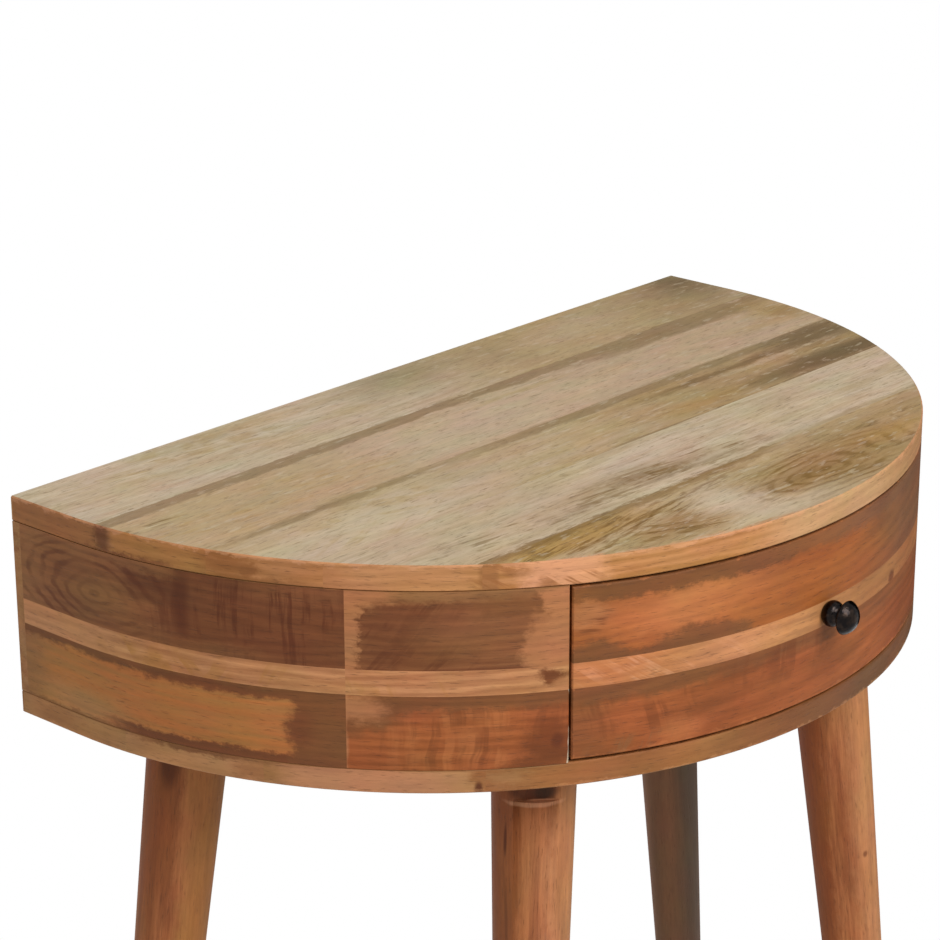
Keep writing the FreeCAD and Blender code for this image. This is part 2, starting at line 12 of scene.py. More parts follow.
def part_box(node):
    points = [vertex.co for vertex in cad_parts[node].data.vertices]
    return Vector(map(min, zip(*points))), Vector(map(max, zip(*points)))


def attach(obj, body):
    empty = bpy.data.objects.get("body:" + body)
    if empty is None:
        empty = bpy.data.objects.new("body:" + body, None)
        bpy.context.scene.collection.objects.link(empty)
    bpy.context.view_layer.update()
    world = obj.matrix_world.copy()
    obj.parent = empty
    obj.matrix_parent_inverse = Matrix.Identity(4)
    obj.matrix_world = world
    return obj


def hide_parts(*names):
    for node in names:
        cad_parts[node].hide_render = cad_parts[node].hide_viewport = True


bl_info = {
    "name": "Half-moon side table",
    "version": (1, 0, 0),
    "blender": (4, 5, 0),
    "location": "View3D > Sidebar > Table",
    "description": "Wood, metal and stage for a half-moon side table with one drawer",
    "category": "Object",
}

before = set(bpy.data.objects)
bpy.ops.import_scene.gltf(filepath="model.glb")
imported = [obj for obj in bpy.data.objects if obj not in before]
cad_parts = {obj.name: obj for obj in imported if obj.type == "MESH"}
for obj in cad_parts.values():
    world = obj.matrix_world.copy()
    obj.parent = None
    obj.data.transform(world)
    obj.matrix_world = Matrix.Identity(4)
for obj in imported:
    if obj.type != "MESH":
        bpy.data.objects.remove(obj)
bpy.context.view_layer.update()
REAR_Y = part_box("back_panel")[1].y
FRONT_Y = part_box("top_board_5")[0].y
SEAT_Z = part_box("base_board_1")[0].z
MILLIMETRE = 0.001
TO_MILLIMETRES = (MILLIMETRE,) * 3
BUMP_STRENGTH = 0.5
# How far metal's roughness varies, and how much rougher it is where it is worn
METAL_SPREAD = 0.12
METAL_WEAR = 0.08

# The curved wall in millimetres: its radius, the straight sides behind its centre, the rear face's skin,
# and how far past the wall's ends the figure of the rear face lies.
HALF_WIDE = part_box("top_board_1")[1].x * 1000
STRAIGHT = round((REAR_Y - FRONT_Y) * 1000 - HALF_WIDE)
REAR_SKIN = (-1.2, -0.6)
PAST_ENDS = 2000
# How level a board's surface is where its edge gives way to its face
FACE_TILT = (0.75, 0.95)

# The first seed of each group of pieces, the step to a board's edge, and what a seed shifts a noise by
TOP_SEED = 1
BOX_SEED = 31
BASE_SEED = 41
PANEL_SEED = 50
BLOCK_SEED = 60
LEG_SEED = 90
EDGE_STEP = 20
SEED_SHIFT = (17.3, 5.7, 11.9)

# How a mark's edge is torn: a noise's scale and its reach in millimetres, along, across and through the grain
LONG_TEAR = ((0.05, 0.26, 0.2), (54, 13, 0))
LOBED_TEAR = ((0.1, 0.17, 0.15), (24, 15, 0))
ENDLESS = 1e6

# The stage: the camera's film in millimetres, in metres how far it sees and half the widths of the floor and
# of the flag, a dark card, and their finishes
FILM = 36
VIEW_END = 60
FLOOR_HALF = 12
FLAG_HALF = 1
MATT = 0.9
WHITE = (1, 1, 1, 1)
FLAG_BLACK = (0.01, 0.01, 0.01, 1)


def linear(level):
    """A display level from 0 to 255 as linear light."""
    share = level / 255
    return share / 12.92 if share <= 0.04045 else ((share + 0.055) / 1.055) ** 2.4


def shade(name, where, *levels):
    """A colour that a user may change, given by its display levels."""
    return FloatVectorProperty(name=name, description=where, subtype="COLOR", size=4, min=0, max=1,
                               default=(*(linear(level) for level in levels), 1))


def length(name, where, metres):
    """A length that a user may change."""
    return FloatProperty(name=name, description=where, default=metres, min=0, unit="LENGTH")


def factor(name, where, share):
    """A share from 0 to 1 that a user may change."""
    return FloatProperty(name=name, description=where, default=share, min=0, max=1, subtype="FACTOR")


def angle(name, where, degrees):
    """An angle that a user may change, given in degrees."""
    return FloatProperty(name=name, description=where, default=math.radians(degrees), subtype="ANGLE")


def point(name, where, *metres):
    """A place that a user may change."""
    return FloatVectorProperty(name=name, description=where, default=metres, subtype="TRANSLATION",
                               unit="LENGTH")


class TableWood(bpy.types.PropertyGroup):
    """Colours of the wood, from the pale top to the dark heartwood of the apron, and two painted shades, dun
    and peat.
    """
    linen: shade("Linen", "Palest wood of the top", 197, 178, 152)
    sand: shade("Sand", "Plain wood of the top", 183, 159, 127)
    rose: shade("Rose", "Pinkish board of the top", 188, 158, 129)
    straw: shade("Straw", "Yellowish wood of the top", 175, 148, 105)
    sage: shade("Sage", "Greenish grey cloud in the top", 148, 131, 97)
    moss: shade("Moss", "Olive margin of a top board", 143, 119, 84)
    dusk: shade("Dusk", "Brown streaks of the top", 123, 98, 62)
    smoke: shade("Smoke", "Darkest ends of the top boards", 110, 89, 62)
    gold: shade("Gold", "Golden wood at the front of the top", 170, 134, 72)
    walnut: shade("Walnut", "Swirls at the front of the top", 150, 116, 70)
    tobacco: shade("Tobacco", "Fine dark lines at the front of the top", 116, 83, 30)
    peach: shade("Peach", "Edge of the top", 183, 128, 83)
    blush: shade("Blush", "Palest edge of the top", 205, 147, 107)
    cream: shade("Cream", "Edge of the top over the drawer, dark grain of the drawer box", 186, 148, 106)
    toast: shade("Toast", "Brown edge at the rear of the top", 152, 100, 58)
    amber: shade("Amber", "Orange edge of the top", 168, 114, 61)
    bran: shade("Bran", "Edge of the base", 170, 124, 79)
    clay: shade("Clay", "Pinkish edge of the base", 177, 121, 85)
    cocoa: shade("Cocoa", "Brown edge of the base", 141, 88, 46)
    umber: shade("Umber", "Dark heartwood of the upper blocks", 109, 61, 33)
    coffee: shade("Coffee", "Darkest lines of the upper blocks", 88, 43, 20)
    bark: shade("Bark", "Lighter lines of the upper blocks", 132, 84, 49)
    hazel: shade("Hazel", "Palest brown of the upper blocks", 146, 100, 60)
    sapwood: shade("Sapwood", "Pale ends of the blocks", 168, 111, 70)
    honey: shade("Honey", "Orange heart of the lower rear block", 170, 104, 53)
    rust: shade("Rust", "Red-orange of the lower blocks", 154, 85, 44)
    brick: shade("Brick", "Darker red of the lower blocks", 138, 74, 34)
    ember: shade("Ember", "Bright orange of the drawer front", 177, 107, 60)
    copper: shade("Copper", "Orange brown of the drawer front", 150, 85, 37)
    soot: shade("Soot", "Dark borders of the blocks", 116, 71, 38)
    maroon: shade("Maroon", "Dark red corners of the lower blocks", 106, 55, 24)
    wheat: shade("Wheat", "Middle strip of the apron", 189, 134, 89)
    biscuit: shade("Biscuit", "Middle strip of the drawer", 184, 124, 77)
    chestnut: shade("Chestnut", "Legs", 170, 106, 63)
    russet: shade("Russet", "Dark grain of the legs", 138, 78, 42)
    # Painted shade: this colour darkens the drawer front's far right end and the camera side of one rear leg.
    dun: shade("Dun", "Dull end of the drawer front and side of one rear leg", 110, 75, 50)
    # Painted shade: this colour darkens the shaded side of one rear leg and the right end of the base's edge.
    peat: shade("Peat", "Darkest side of one rear leg", 74, 58, 44)
    maple: shade("Maple", "Drawer box and rails", 190, 156, 112)
    board: shade("Board", "Rear panel", 150, 108, 70)
    pore: shade("Pore", "Open pores of the wood", 66, 40, 22)


class TableFinish(bpy.types.PropertyGroup):
    """Gloss and scale of the finishes."""
    roughness: factor("Roughness", "Roughness of the waxed wood", 0.6)
    specular: factor("Sheen level", "Mirror reflection of the waxed wood", 0.2)
    gloss_spread: factor("Gloss spread", "How far the waxed wood's roughness varies", 0.16)
    relief: length("Relief", "Height of the open grain", 0.0003)
    bronze: shade("Bronze", "Knob", 30, 27, 27)
    rubbed: shade("Rubbed bronze", "Knob where hands rub it", 58, 47, 40)
    bronze_rough: factor("Bronze roughness", "Roughness of the knob", 0.17)
    steel: shade("Steel", "Screws, bolts and nuts", 172, 170, 164)
    dulled: shade("Dulled steel", "Screws, bolts and nuts where they dulled", 132, 128, 120)
    steel_rough: factor("Steel roughness", "Roughness of the screws, bolts and nuts", 0.34)


class TableLegs(bpy.types.PropertyGroup):
    """Sizes of the turned legs."""
    head: length("Head", "Width of a leg at its head", 0.0495)
    foot: length("Foot", "Width of a leg at its foot", 0.022)
    rim: length("Rim", "Easing of a leg's two rims", 0.0012)
    sides: IntProperty(name="Sides", description="Flats round a leg", default=96, min=12)
    notch_deep: length("Notch depth", "Depth of the notch under one leg's head", 0.0045)
    notch_high: length("Notch height", "Height of the notch under one leg's head", 0.023)
    notch_turn: angle("Notch turn", "Azimuth that the notch faces", -45)


class TableStage(bpy.types.PropertyGroup):
    """Camera, light and floor."""
    place: point("Camera place", "Where the camera stands", -1.29974, -1.06015, 1.32683)
    azimuth: angle("Azimuth", "Turn of the camera round the table", -48.077)
    elevation: angle("Elevation", "Height of the view over the horizon", 19.643)
    roll: angle("Roll", "Turn of the camera about its view", -0.209)
    lens: FloatProperty(name="Lens", description="Focal length in millimetres", default=114.21)
    key_watts: FloatProperty(name="Key light", description="Power of the large soft lamp", unit="POWER",
                             default=52)
    key_azimuth: angle("Key azimuth", "Turn of the lamp round the table", -10)
    key_elevation: angle("Key elevation", "Height of the lamp over the horizon", 42)
    key_far: length("Key distance", "Distance of the lamp from its aim", 2.6)
    key_wide: length("Key width", "Width of the lamp", 1.6)
    key_aim: point("Key aim", "Place that the lamp faces", 0, 0, 0.6)
    sky: FloatProperty(name="Sky light", description="Strength of the light from all round", default=0.5,
                       min=0)
    floor: shade("Floor", "Pale floor", 243, 243, 243)
    pool: length("Pool", "Radius up to which the floor shows its shadows", 0.42)
    pool_end: length("Pool end", "Radius past which the floor is white", 0.75)
    flag_place: point("Flag place", "Middle of the dark card at the right", 1.1, 0.5, 0.75)


class Field:
    """A value, vector or colour in a material; sums on values add their nodes."""

    def __init__(self, tree, socket):
        self.tree = tree
        self.socket = socket

    def node(self, kind, settings, sockets, output=0):
        """The output of a new node: its settings are made first, then its sockets are linked or set."""
        made = self.tree.nodes.new(kind)
        for name, setting in settings.items():
            setattr(made, name, setting)
        for name, given in sockets.items():
            if isinstance(given, Field):
                self.tree.links.new(given.socket, made.inputs[name])
            else:
                made.inputs[name].default_value = given
        return Field(self.tree, made.outputs[output])

    def math(self, operation, *terms):
        return self.node("ShaderNodeMath", {"operation": operation}, dict(enumerate(terms)))

    def __add__(self, other):
        return self.math("ADD", self, other)

    def __radd__(self, other):
        return self.math("ADD", other, self)

    def __sub__(self, other):
        return self.math("SUBTRACT", self, other)

    def __rsub__(self, other):
        return self.math("SUBTRACT", other, self)

    def __mul__(self, other):
        return self.math("MULTIPLY", self, other)

    def __rmul__(self, other):
        return self.math("MULTIPLY", other, self)

    def ramp(self, low, high):
        """A smooth step from 0 at low to 1 at high."""
        return self.node("ShaderNodeMapRange", {"interpolation_type": "SMOOTHSTEP"},
                         {"Value": self, "From Min": low, "From Max": high})

    def vector(self, operation, *terms, output=0):
        return self.node("ShaderNodeVectorMath", {"operation": operation}, dict(enumerate(terms)), output)

    def parts(self):
        """The three parts of a vector."""
        made = self.node("ShaderNodeSeparateXYZ", {}, {0: self})
        return [Field(self.tree, made.socket.node.outputs[axis]) for axis in "XYZ"]

    def joined(self, *parts):
        """A vector of three values."""
        return self.node("ShaderNodeCombineXYZ", {}, dict(zip("XYZ", parts)))

    def stretched(self, scale, offset=(0, 0, 0)):
        """The vector times a scale for each axis, shifted by an offset."""
        return self.node("ShaderNodeMapping", {"vector_type": "POINT"},
                         {"Vector": self, "Location": offset, "Scale": scale})

    def seen_from(self, centre, turn=(0, 0, 0), scale=(1, 1, 1)):
        """The vector measured from a centre, on turned axes, in units of a scale."""
        return self.node("ShaderNodeMapping", {"vector_type": "TEXTURE"},
                         {"Vector": self, "Location": centre, "Rotation": turn, "Scale": scale})

    def noise(self, scale, seed, detail=2, rough=0.5, output=0):
        """Soft noise over the vector, its patches as long as the scale's inverse."""
        offset = tuple(seed * shift for shift in SEED_SHIFT)
        return self.node("ShaderNodeTexNoise", {}, {"Vector": self.stretched(scale, offset), "Scale": 1,
                                                    "Detail": detail, "Roughness": rough}, output)

    def stirred(self, noise, reach):
        """The vector moved by a noise's colour, up to half a reach either way on each axis."""
        return self.vector("MULTIPLY_ADD", self.vector("SUBTRACT", noise, (0.5, 0.5, 0.5)), reach, self)

    def between(self, low, high):
        """The colour that the value picks between two."""
        return self.node("ShaderNodeMix", {"data_type": "RGBA"}, {0: self, 6: low, 7: high}, 2)

    def mixed(self, mask, other, blend="MIX"):
        """The colour with another laid over it where the mask is."""
        return self.node("ShaderNodeMix", {"data_type": "RGBA", "blend_type": blend},
                         {0: mask, 6: self, 7: other}, 2)


def spot(uv, u, v, long, high, soft=0.4, turn=0, w=0, deep=ENDLESS):
    """A soft-edged ellipse, by its centre and its half length, half height and half depth."""
    local = uv.seen_from((u, v, w), (0, 0, math.radians(turn)), (long, high, deep))
    return local.vector("LENGTH", local, output=1).ramp(1 + soft, 1 - soft)


def block(uv, left, right, low, high, soft=4, edge=2):
    """A soft-edged rectangle: soft is the blur of its ends and edge that of its long sides."""
    u, v = uv.parts()[:2]
    ends = u.ramp(left - soft, left + soft) * u.ramp(right + soft, right - soft)
    return ends * v.ramp(low - edge, low + edge) * v.ramp(high + edge, high - edge)


def rings(uv, u, v, long, high, count=6, turn=0, seed=1, uneven=0.5):
    """Growth rings as thin uneven lines about a centre, fading out at the ellipse's rim."""
    local = uv.seen_from((u, v, 0), (0, 0, math.radians(turn)), (long, high, ENDLESS))
    sway = local.noise((1.3, 1.3, 1), seed, 4, 0.6, output=1)
    reach = local.vector("LENGTH", local.stirred(sway, (uneven, uneven, 0)), output=1)
    phase = reach * (count * 2 * math.pi)
    lines = phase.math("SINE", phase).ramp(-0.2, 1)
    fade = local.noise((2.2, 2.2, 1), seed + 1, 2).ramp(0.3, 0.6)
    return lines * fade * reach.ramp(1.15, 0.7)


def ripple(uv, u, v, long, high, period=6, turn=0, seed=1, thin=0.08):
    """Uneven lines across the grain inside a soft ellipse."""
    local = uv.seen_from((u, v, 0), (0, 0, math.radians(turn)))
    lines = local.noise((1 / period, 0.07 / period, 0), seed, 3, 0.65)
    fade = local.noise((0.06, 0.08, 0), seed + 1, 2).ramp(0.35, 0.6)
    return lines.ramp(0.49, 0.49 + thin * 1.4) * fade * spot(uv, u, v, long, high, 0.5)


def flecks(uv, long, high, few=0.58, seed=1):
    """Ticks or patches all over, by their length and height; few is how rare they are."""
    return uv.noise((1 / long, 1 / high, 0.05), seed, 3, 0.6).ramp(few, few + 0.1)


# A mark is its kind, its tint, its strength and then the sizes that its function takes, in millimetres and
# degrees. Spots and blocks have torn edges, and knots and bars are the same shapes with clean ones.
MARKS = {"spot": spot, "knot": spot, "block": block, "bar": block, "rings": rings, "ripple": ripple,
         "flecks": flecks}
UNTORN = ("knot", "bar", "rings", "ripple", "flecks")


@dataclass
class Wood:
    """One piece's wood: two base colours, its marks, and how its grain runs."""
    light: str
    dark: str
    marks: tuple = ()
    wander: float = 3
    torn: tuple = LOBED_TEAR
    heart: tuple = (0, 40, 0.05)
    ring: float = 5
    figure: float = 0.12
    clouded: float = 0.26

    # Noise scales per millimetre, along, across and through the grain
    DRIFT = (0.01, 0.035, 0.03)
    WAVER = (0.009, 0.05, 0.04)
    BROAD = (0.008, 0.1, 0.05)
    FINE = (0.035, 0.7, 0.4)
    MOTTLE = (0.08, 0.17, 0.1)
    CLOUD = (0.022, 0.05, 0.04)
    PITS = (0.13, 1.25, 1.1)
    # Reach of the grain's drift along and across for each unit of wander, and of the growth lines' in rings
    SWAY = (5, 1.5)
    RING_SWAY = 2.5
    # Share of the broad bands in the tone, and its levels of dark and light
    BANDS = 0.55
    TONE = (0.34, 0.66)
    # Depth of the fine lines, of the fine mottling and of the pits in the colour
    STREAK = 0.4
    MOTTLED = 0.3
    PORES = 0.35
    # Levels of a pit's rim, and heights of the fine lines and the growth lines in the relief
    PIT_RIM = (0.58, 0.74)
    FINE_RISE = 0.6
    GROWTH_RISE = 0.2

    def growth(self, bent, seed):
        """Growth lines: a log's rings about its heart, which lies across and below and leans along it."""
        u, v, w = bent.parts()
        across, below, lean = self.heart
        reach = bent.vector("LENGTH", bent.joined(0, v - across, w - below + u * lean), output=1)
        waver = bent.noise(self.WAVER, seed + 6) * (self.ring * self.RING_SWAY)
        phase = (reach + waver) * (2 * math.pi / self.ring)
        return phase.math("SINE", phase) * 0.5 + 0.5

    def colour(self, uv, seed):
        """The colour over millimetres along, across and through the grain, its relief and its fine lines."""
        shades = bpy.context.scene.table_wood
        sway = (*(self.wander * reach for reach in self.SWAY), 0)
        bent = uv.stirred(uv.noise(self.DRIFT, seed, output=1), sway)
        patches, fray = self.torn
        torn = bent.stirred(uv.noise(patches, seed + 3, 6, 0.72, output=1), fray)
        growth = self.growth(bent, seed)
        broad = bent.noise(self.BROAD, seed + 1, 3, 0.6)
        fine = bent.noise(self.FINE, seed + 2, 5, 0.66)
        tone = broad * self.BANDS + fine * (1 - self.BANDS - self.figure) + growth * self.figure
        colour = tone.ramp(*self.TONE).between(getattr(shades, self.dark), getattr(shades, self.light))
        for kind, tint, strength, *sizes in self.marks:
            mask = MARKS[kind](bent if kind in UNTORN else torn, *sizes)
            colour = colour.mixed(mask * strength, getattr(shades, tint))
        lines = (1 - (self.STREAK + self.figure) / 2) + fine * self.STREAK + growth * self.figure
        mottle = (1 - self.MOTTLED / 2) + uv.noise(self.MOTTLE, seed + 5, 6, 0.7) * self.MOTTLED
        cloud = uv.noise(self.CLOUD, seed + 7, output=1)
        cloud = cloud.vector("MULTIPLY_ADD", cloud, (self.clouded,) * 3, (1 - self.clouded / 2,) * 3)
        colour = colour.mixed(1.0, lines * mottle, "MULTIPLY").mixed(1.0, cloud, "MULTIPLY")
        pits = bent.noise(self.PITS, seed + 4).ramp(*self.PIT_RIM)
        colour = colour.mixed(pits * self.PORES, shades.pore)
        return colour, fine * self.FINE_RISE + growth * self.GROWTH_RISE - pits, fine


def new_material(name):
    """An empty material with its surface shader, and a field to start from."""
    material = bpy.data.materials.new(name)
    material.use_nodes = True
    tree = material.node_tree
    surface = tree.nodes["Principled BSDF"]
    place = Field(tree, tree.nodes.new("ShaderNodeTexCoord").outputs["Object"])
    return material, surface, place


def wax(surface, colour, relief, fine):
    """The waxed wood's colour, gloss and open grain on a surface shader."""
    finish = bpy.context.scene.table_finish
    tree = colour.tree
    tree.links.new(colour.socket, surface.inputs["Base Color"])
    rough = (finish.roughness - finish.gloss_spread / 2) + fine * finish.gloss_spread
    tree.links.new(rough.socket, surface.inputs["Roughness"])
    surface.inputs["Specular IOR Level"].default_value = finish.specular
    bump = colour.node("ShaderNodeBump", {}, {"Strength": BUMP_STRENGTH, "Distance": finish.relief,
                                              "Height": relief})
    tree.links.new(bump.socket, surface.inputs["Normal"])


def on_top(place):
    """Millimetres to the right and from the rear edge, seen from above."""
    return place.seen_from((0, REAR_Y, SEAT_Z), scale=TO_MILLIMETRES)


def on_wall(place):
    """Millimetres round the curved wall from the drawer's middle, and up from the base; the rear is flat."""
    x, y, z = on_top(place).parts()
    turn = x.math("ARCTAN2", x, 0 - STRAIGHT - y)
    reach = place.vector("LENGTH", place.joined(x, y + STRAIGHT, 0), output=1)
    rear = y.ramp(*REAR_SKIN)
    front = 1 - rear
    return place.joined(turn * HALF_WIDE * front + (x + PAST_ENDS) * rear, z, (reach - HALF_WIDE) * front)


def along(place, order):
    """Millimetres on the table's axes in a given order: along the grain, across it and through."""
    parts = dict(zip("xyz", on_top(place).parts()))
    return place.joined(*(parts[axis] for axis in order))


def dress(node, material):
    """A CAD node shown in a material."""
    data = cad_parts[node].data
    data.materials.clear()
    data.materials.append(material)


def board_material(name, wood, edge, seed):
    """A board with one figure on its faces and another round its edge."""
    material, surface, place = new_material(name)
    colour, relief, fine = wood.colour(on_top(place), seed)
    rim, rim_relief = edge.colour(on_wall(place), seed + EDGE_STEP)[:2]
    level = place.node("ShaderNodeNewGeometry", {}, {}, "Normal").parts()[2]
    face = level.math("ABSOLUTE", level).ramp(*FACE_TILT)
    wax(surface, rim.mixed(face, colour), relief * face + rim_relief * (1 - face), fine)
    return material


def block_material(name, wood, seed):
    """A curved block whose figure runs round the wall."""
    material, surface, place = new_material(name)
    wax(surface, *wood.colour(on_wall(place), seed))
    return material


def plain_material(name, wood, order, seed):
    """A straight piece whose grain runs along the first of its axes."""
    material, surface, place = new_material(name)
    wax(surface, *wood.colour(along(place, order), seed))
    return material


TOP_EDGE = Wood("peach", "amber", [
    ("block", "toast", 0.95, -560, -453, 100, 140, 3),
    ("block", "amber", 0.85, -441, -376, 100, 140, 4),
    ("knot", "coffee", 0.8, -447, 127, 6, 9, 0.6),
    ("spot", "cocoa", 0.9, -364, 127, 15, 9, 0.7),
    ("block", "sapwood", 0.6, -348, -300, 100, 140, 12),
    ("spot", "cocoa", 0.8, -352, 125, 4, 4),
    ("block", "peach", 0.7, -300, -228, 100, 140, 12),
    ("bar", "toast", 0.85, -226, -216, 100, 140, 1.5),
    ("ripple", "toast", 0.9, -204, 130, 18, 5, 3, 76, 4),
    ("block", "blush", 0.9, -203, -158, 100, 140, 8),
    ("spot", "amber", 0.35, -122, 124, 30, 6, 0.8),
    ("block", "cream", 0.75, -50, 240, 100, 140, 30),
    ("block", "toast", 0.6, 70, 320, 100, 140, 60),
    ("ripple", "cocoa", 0.75, -190, 121.5, 44, 4.5, 3, 60, 2),
    # Painted shade: darker spots along the bottom of the top's edge, at its joint with the apron.
    ("spot", "umber", 0.75, -432, 118.5, 34, 2.6, 0.6),
    ("spot", "cocoa", 0.6, -345, 119, 30, 2.2, 0.6),
    ("block", "blush", 0.45, -560, 560, 131.8, 140, 30, 0.8),
    # Painted light: a pale line on the top's lower arris, which offsets the shadow in its joint with the
    # apron.
    ("bar", "hazel", 1, -560, -178, 110, 118.8, 4, 0.2),
], wander=1.2)

BASE_EDGE = Wood("bran", "cocoa", [
    ("block", "bran", 0.9, -560, -232, -5, 20, 6),
    ("block", "clay", 0.85, -338, -240, -5, 20, 14),
    ("spot", "cocoa", 0.5, -350, 7, 16, 7, 0.6),
    ("spot", "soot", 0.85, -385, 13.5, 46, 2.8, 0.6),
    ("block", "cocoa", 0.85, -228, 400, -5, 20, 5),
    ("spot", "bran", 0.5, -212, 8, 12, 5, 0.7),
    ("block", "soot", 0.95, -60, 400, -5, 20, 50),
    # Painted shade: the right end of the base's edge is darkened.
    ("block", "peat", 0.35, 0, 400, -5, 20, 40),
    ("spot", "cocoa", 0.5, -490, 7, 30, 8, 1),
    ("knot", "coffee", 0.95, -227.5, 2, 2.2, 4.5, 0.5),
    ("block", "peach", 0.4, -560, 560, -5, 1.2, 30, 0.8),
    # Painted light: a pale line on the base's upper arris, which offsets the shadow in its joint with the
    # apron.
    ("bar", "hazel", 0.9, -560, -178, 13.2, 20, 4, 0.2),
], wander=1.2)

PALE_BOARD = {"figure": 0.04, "torn": LONG_TEAR, "clouded": 0.2}
TICKS = [("flecks", "dusk", 0.5, 12, 1.8, 0.6, 3), ("flecks", "linen", 0.4, 16, 4, 0.57, 8)]

TOP_BOARDS = {
    "top_board_1": Wood("linen", "sand", [
        ("block", "straw", 0.8, 20, 320, -80, 20, 70, 4),
        ("spot", "sage", 0.85, 0, -12, 40, 24, 1.4),
        ("spot", "moss", 0.35, 82, -22, 16, 32, 1.5),
        ("spot", "sand", 0.7, 165, -30, 50, 14, 0.8),
        ("spot", "moss", 0.6, 262, -40, 40, 40, 1.4),
        ("spot", "smoke", 0.85, 290, -14, 24, 24, 1.2),
        ("ripple", "straw", 0.7, -150, -22, 120, 24, 7, 80, 2),
        ("ripple", "rose", 0.6, -240, -52, 70, 20, 8, 84, 5),
        ("spot", "straw", 0.55, -145, -6, 50, 5, 0.8),
        ("block", "dusk", 0.5, -320, 320, -80, -69.3, 4, 0.4),
        *TICKS,
    ], wander=2.5, heart=(-25, 100, 0.04), **PALE_BOARD),
    "top_board_2": Wood("rose", "sand", [
        ("block", "straw", 0.55, -320, -130, -150, -78, 60, 4),
        ("block", "linen", 0.3, -110, 60, -138, -86, 60, 8),
        ("block", "moss", 0.85, -320, 320, -80.5, -60, 4, 1.2),
        ("spot", "moss", 0.85, 205, -84, 105, 7, 0.5),
        ("ripple", "dusk", 0.9, -282, -94, 24, 6, 3, 82, 7),
        ("spot", "gold", 0.5, 278, -100, 20, 18, 0.8),
        ("spot", "walnut", 0.6, 282, -112, 14, 12, 0.8),
        ("spot", "straw", 0.6, 248, -120, 30, 6, 0.8),
        ("spot", "straw", 0.6, 30, -91, 46, 2.5, 0.7),
        ("ripple", "gold", 0.45, -215, -118, 100, 26, 5, 84, 11),
        ("block", "dusk", 0.35, -320, 320, -150, -142.3, 4, 0.4),
        *TICKS,
    ], wander=2.5, heart=(-115, 90, -0.03), **PALE_BOARD),
    "top_board_3": Wood("sand", "straw", [
        ("spot", "linen", 0.7, -200, -185, 100, 26, 0.7),
        ("ripple", "straw", 0.6, -170, -168, 70, 16, 7, 66, 1),
        ("ripple", "straw", 0.6, -180, -192, 70, 14, 7, -66, 6),
        ("block", "walnut", 0.45, 50, 320, -210, -148, 60, 6),
        ("block", "moss", 0.8, -70, 320, -152, -130, 70, 1.6),
        ("spot", "moss", 0.85, -190, -146, 80, 3.5, 0.6),
        ("spot", "dusk", 0.8, 150, -161, 80, 3.5, 0.6),
        ("spot", "smoke", 0.8, 252, -158, 48, 14, 0.7),
        ("spot", "smoke", 0.95, 232, -193, 74, 11, 0.6),
        ("spot", "dusk", 0.6, 165, -190, 50, 7, 0.7),
        ("spot", "sand", 0.8, 195, -168, 52, 2.2, 0.6),
        ("spot", "gold", 0.45, 88, -190, 36, 8, 0.8),
        ("block", "smoke", 0.5, -20, 320, -210, -203.2, 40, 0.4),
        *TICKS,
    ], wander=3, heart=(-165, 170, 0.05), **PALE_BOARD),
    "top_board_4": Wood("linen", "sand", [
        ("block", "sand", 0.5, -280, -60, -280, -200, 60, 6),
        ("spot", "dusk", 0.6, -30, -246, 50, 6, 1.1, -5),
        ("spot", "dusk", 0.6, -5, -258, 76, 2.5, 1, -3),
        ("ripple", "tobacco", 0.7, -20, -251, 96, 15, 2.4, 86, 4),
        ("ripple", "moss", 0.85, -140, -250, 90, 18, 3, 85, 12),
        ("ripple", "moss", 0.8, -76, -211, 22, 4, 2, 84, 3),
        ("block", "moss", 0.4, 60, 300, -280, -266, 20, 1.5),
        ("block", "tobacco", 0.7, -260, 60, -280, -268.5, 20, 0.8),
        *TICKS,
    ], wander=3, heart=(-245, 95, 0.06), **PALE_BOARD),
    "top_board_5": Wood("sand", "straw", [
        ("spot", "gold", 0.9, -150, -281, 60, 12, 0.6),
        ("block", "walnut", 0.45, 60, 280, -304, -272, 40, 6),
        ("block", "tobacco", 0.6, -260, 50, -275, -260, 30, 2),
        ("spot", "tobacco", 0.75, -75, -287, 80, 1.6, 0.8, 6),
        ("spot", "tobacco", 0.7, -125, -300, 56, 1.4, 0.8, 13),
        ("ripple", "tobacco", 0.9, -90, -290, 90, 14, 2.6, 99, 10),
        ("ripple", "dusk", 0.7, 90, -289, 90, 8, 3, 92, 3),
        ("spot", "walnut", 0.85, 52, -317, 78, 26, 0.8),
        ("rings", "tobacco", 0.65, 44, -318, 100, 32, 6, 2, 1, 0.45),
        ("ripple", "tobacco", 0.4, 50, -317, 80, 26, 3.5, 84, 6),
        ("knot", "tobacco", 0.5, 24, -316, 18, 5, 1.2),
        ("spot", "walnut", 0.8, -85, -312, 40, 13, 0.9),
        ("ripple", "tobacco", 0.8, -85, -312, 48, 17, 2.8, 68, 8),
        ("spot", "linen", 0.9, -38, -310, 20, 20, 1, 55),
        ("spot", "linen", 0.6, -20, -338, 44, 9, 0.8),
        ("spot", "gold", 0.5, 130, -308, 34, 10, 0.8),
        ("ripple", "tobacco", 0.75, -140, -282, 74, 12, 3, 98, 13),
        ("spot", "blush", 0.9, -150, -311, 30, 4, 0.8, -30),
        ("spot", "blush", 0.85, -100, -334, 34, 3.5, 0.8, -19),
        ("spot", "peach", 0.7, -50, -346, 30, 2.5, 0.8, -9),
        *TICKS,
    ], wander=4, heart=(-330, 165, -0.05), **PALE_BOARD),
}

BASE_BOARDS = ("base_board_1", "base_board_2", "base_board_3", "base_board_4")
# Painted shade: the base boards' faces are dark brown, so the base's top shows dark in the gap under the
# drawer; the underside takes the same wood.
SHADED_BASE_WOOD = Wood("cocoa", "soot", wander=3, heart=(-170, -30, 0.04))

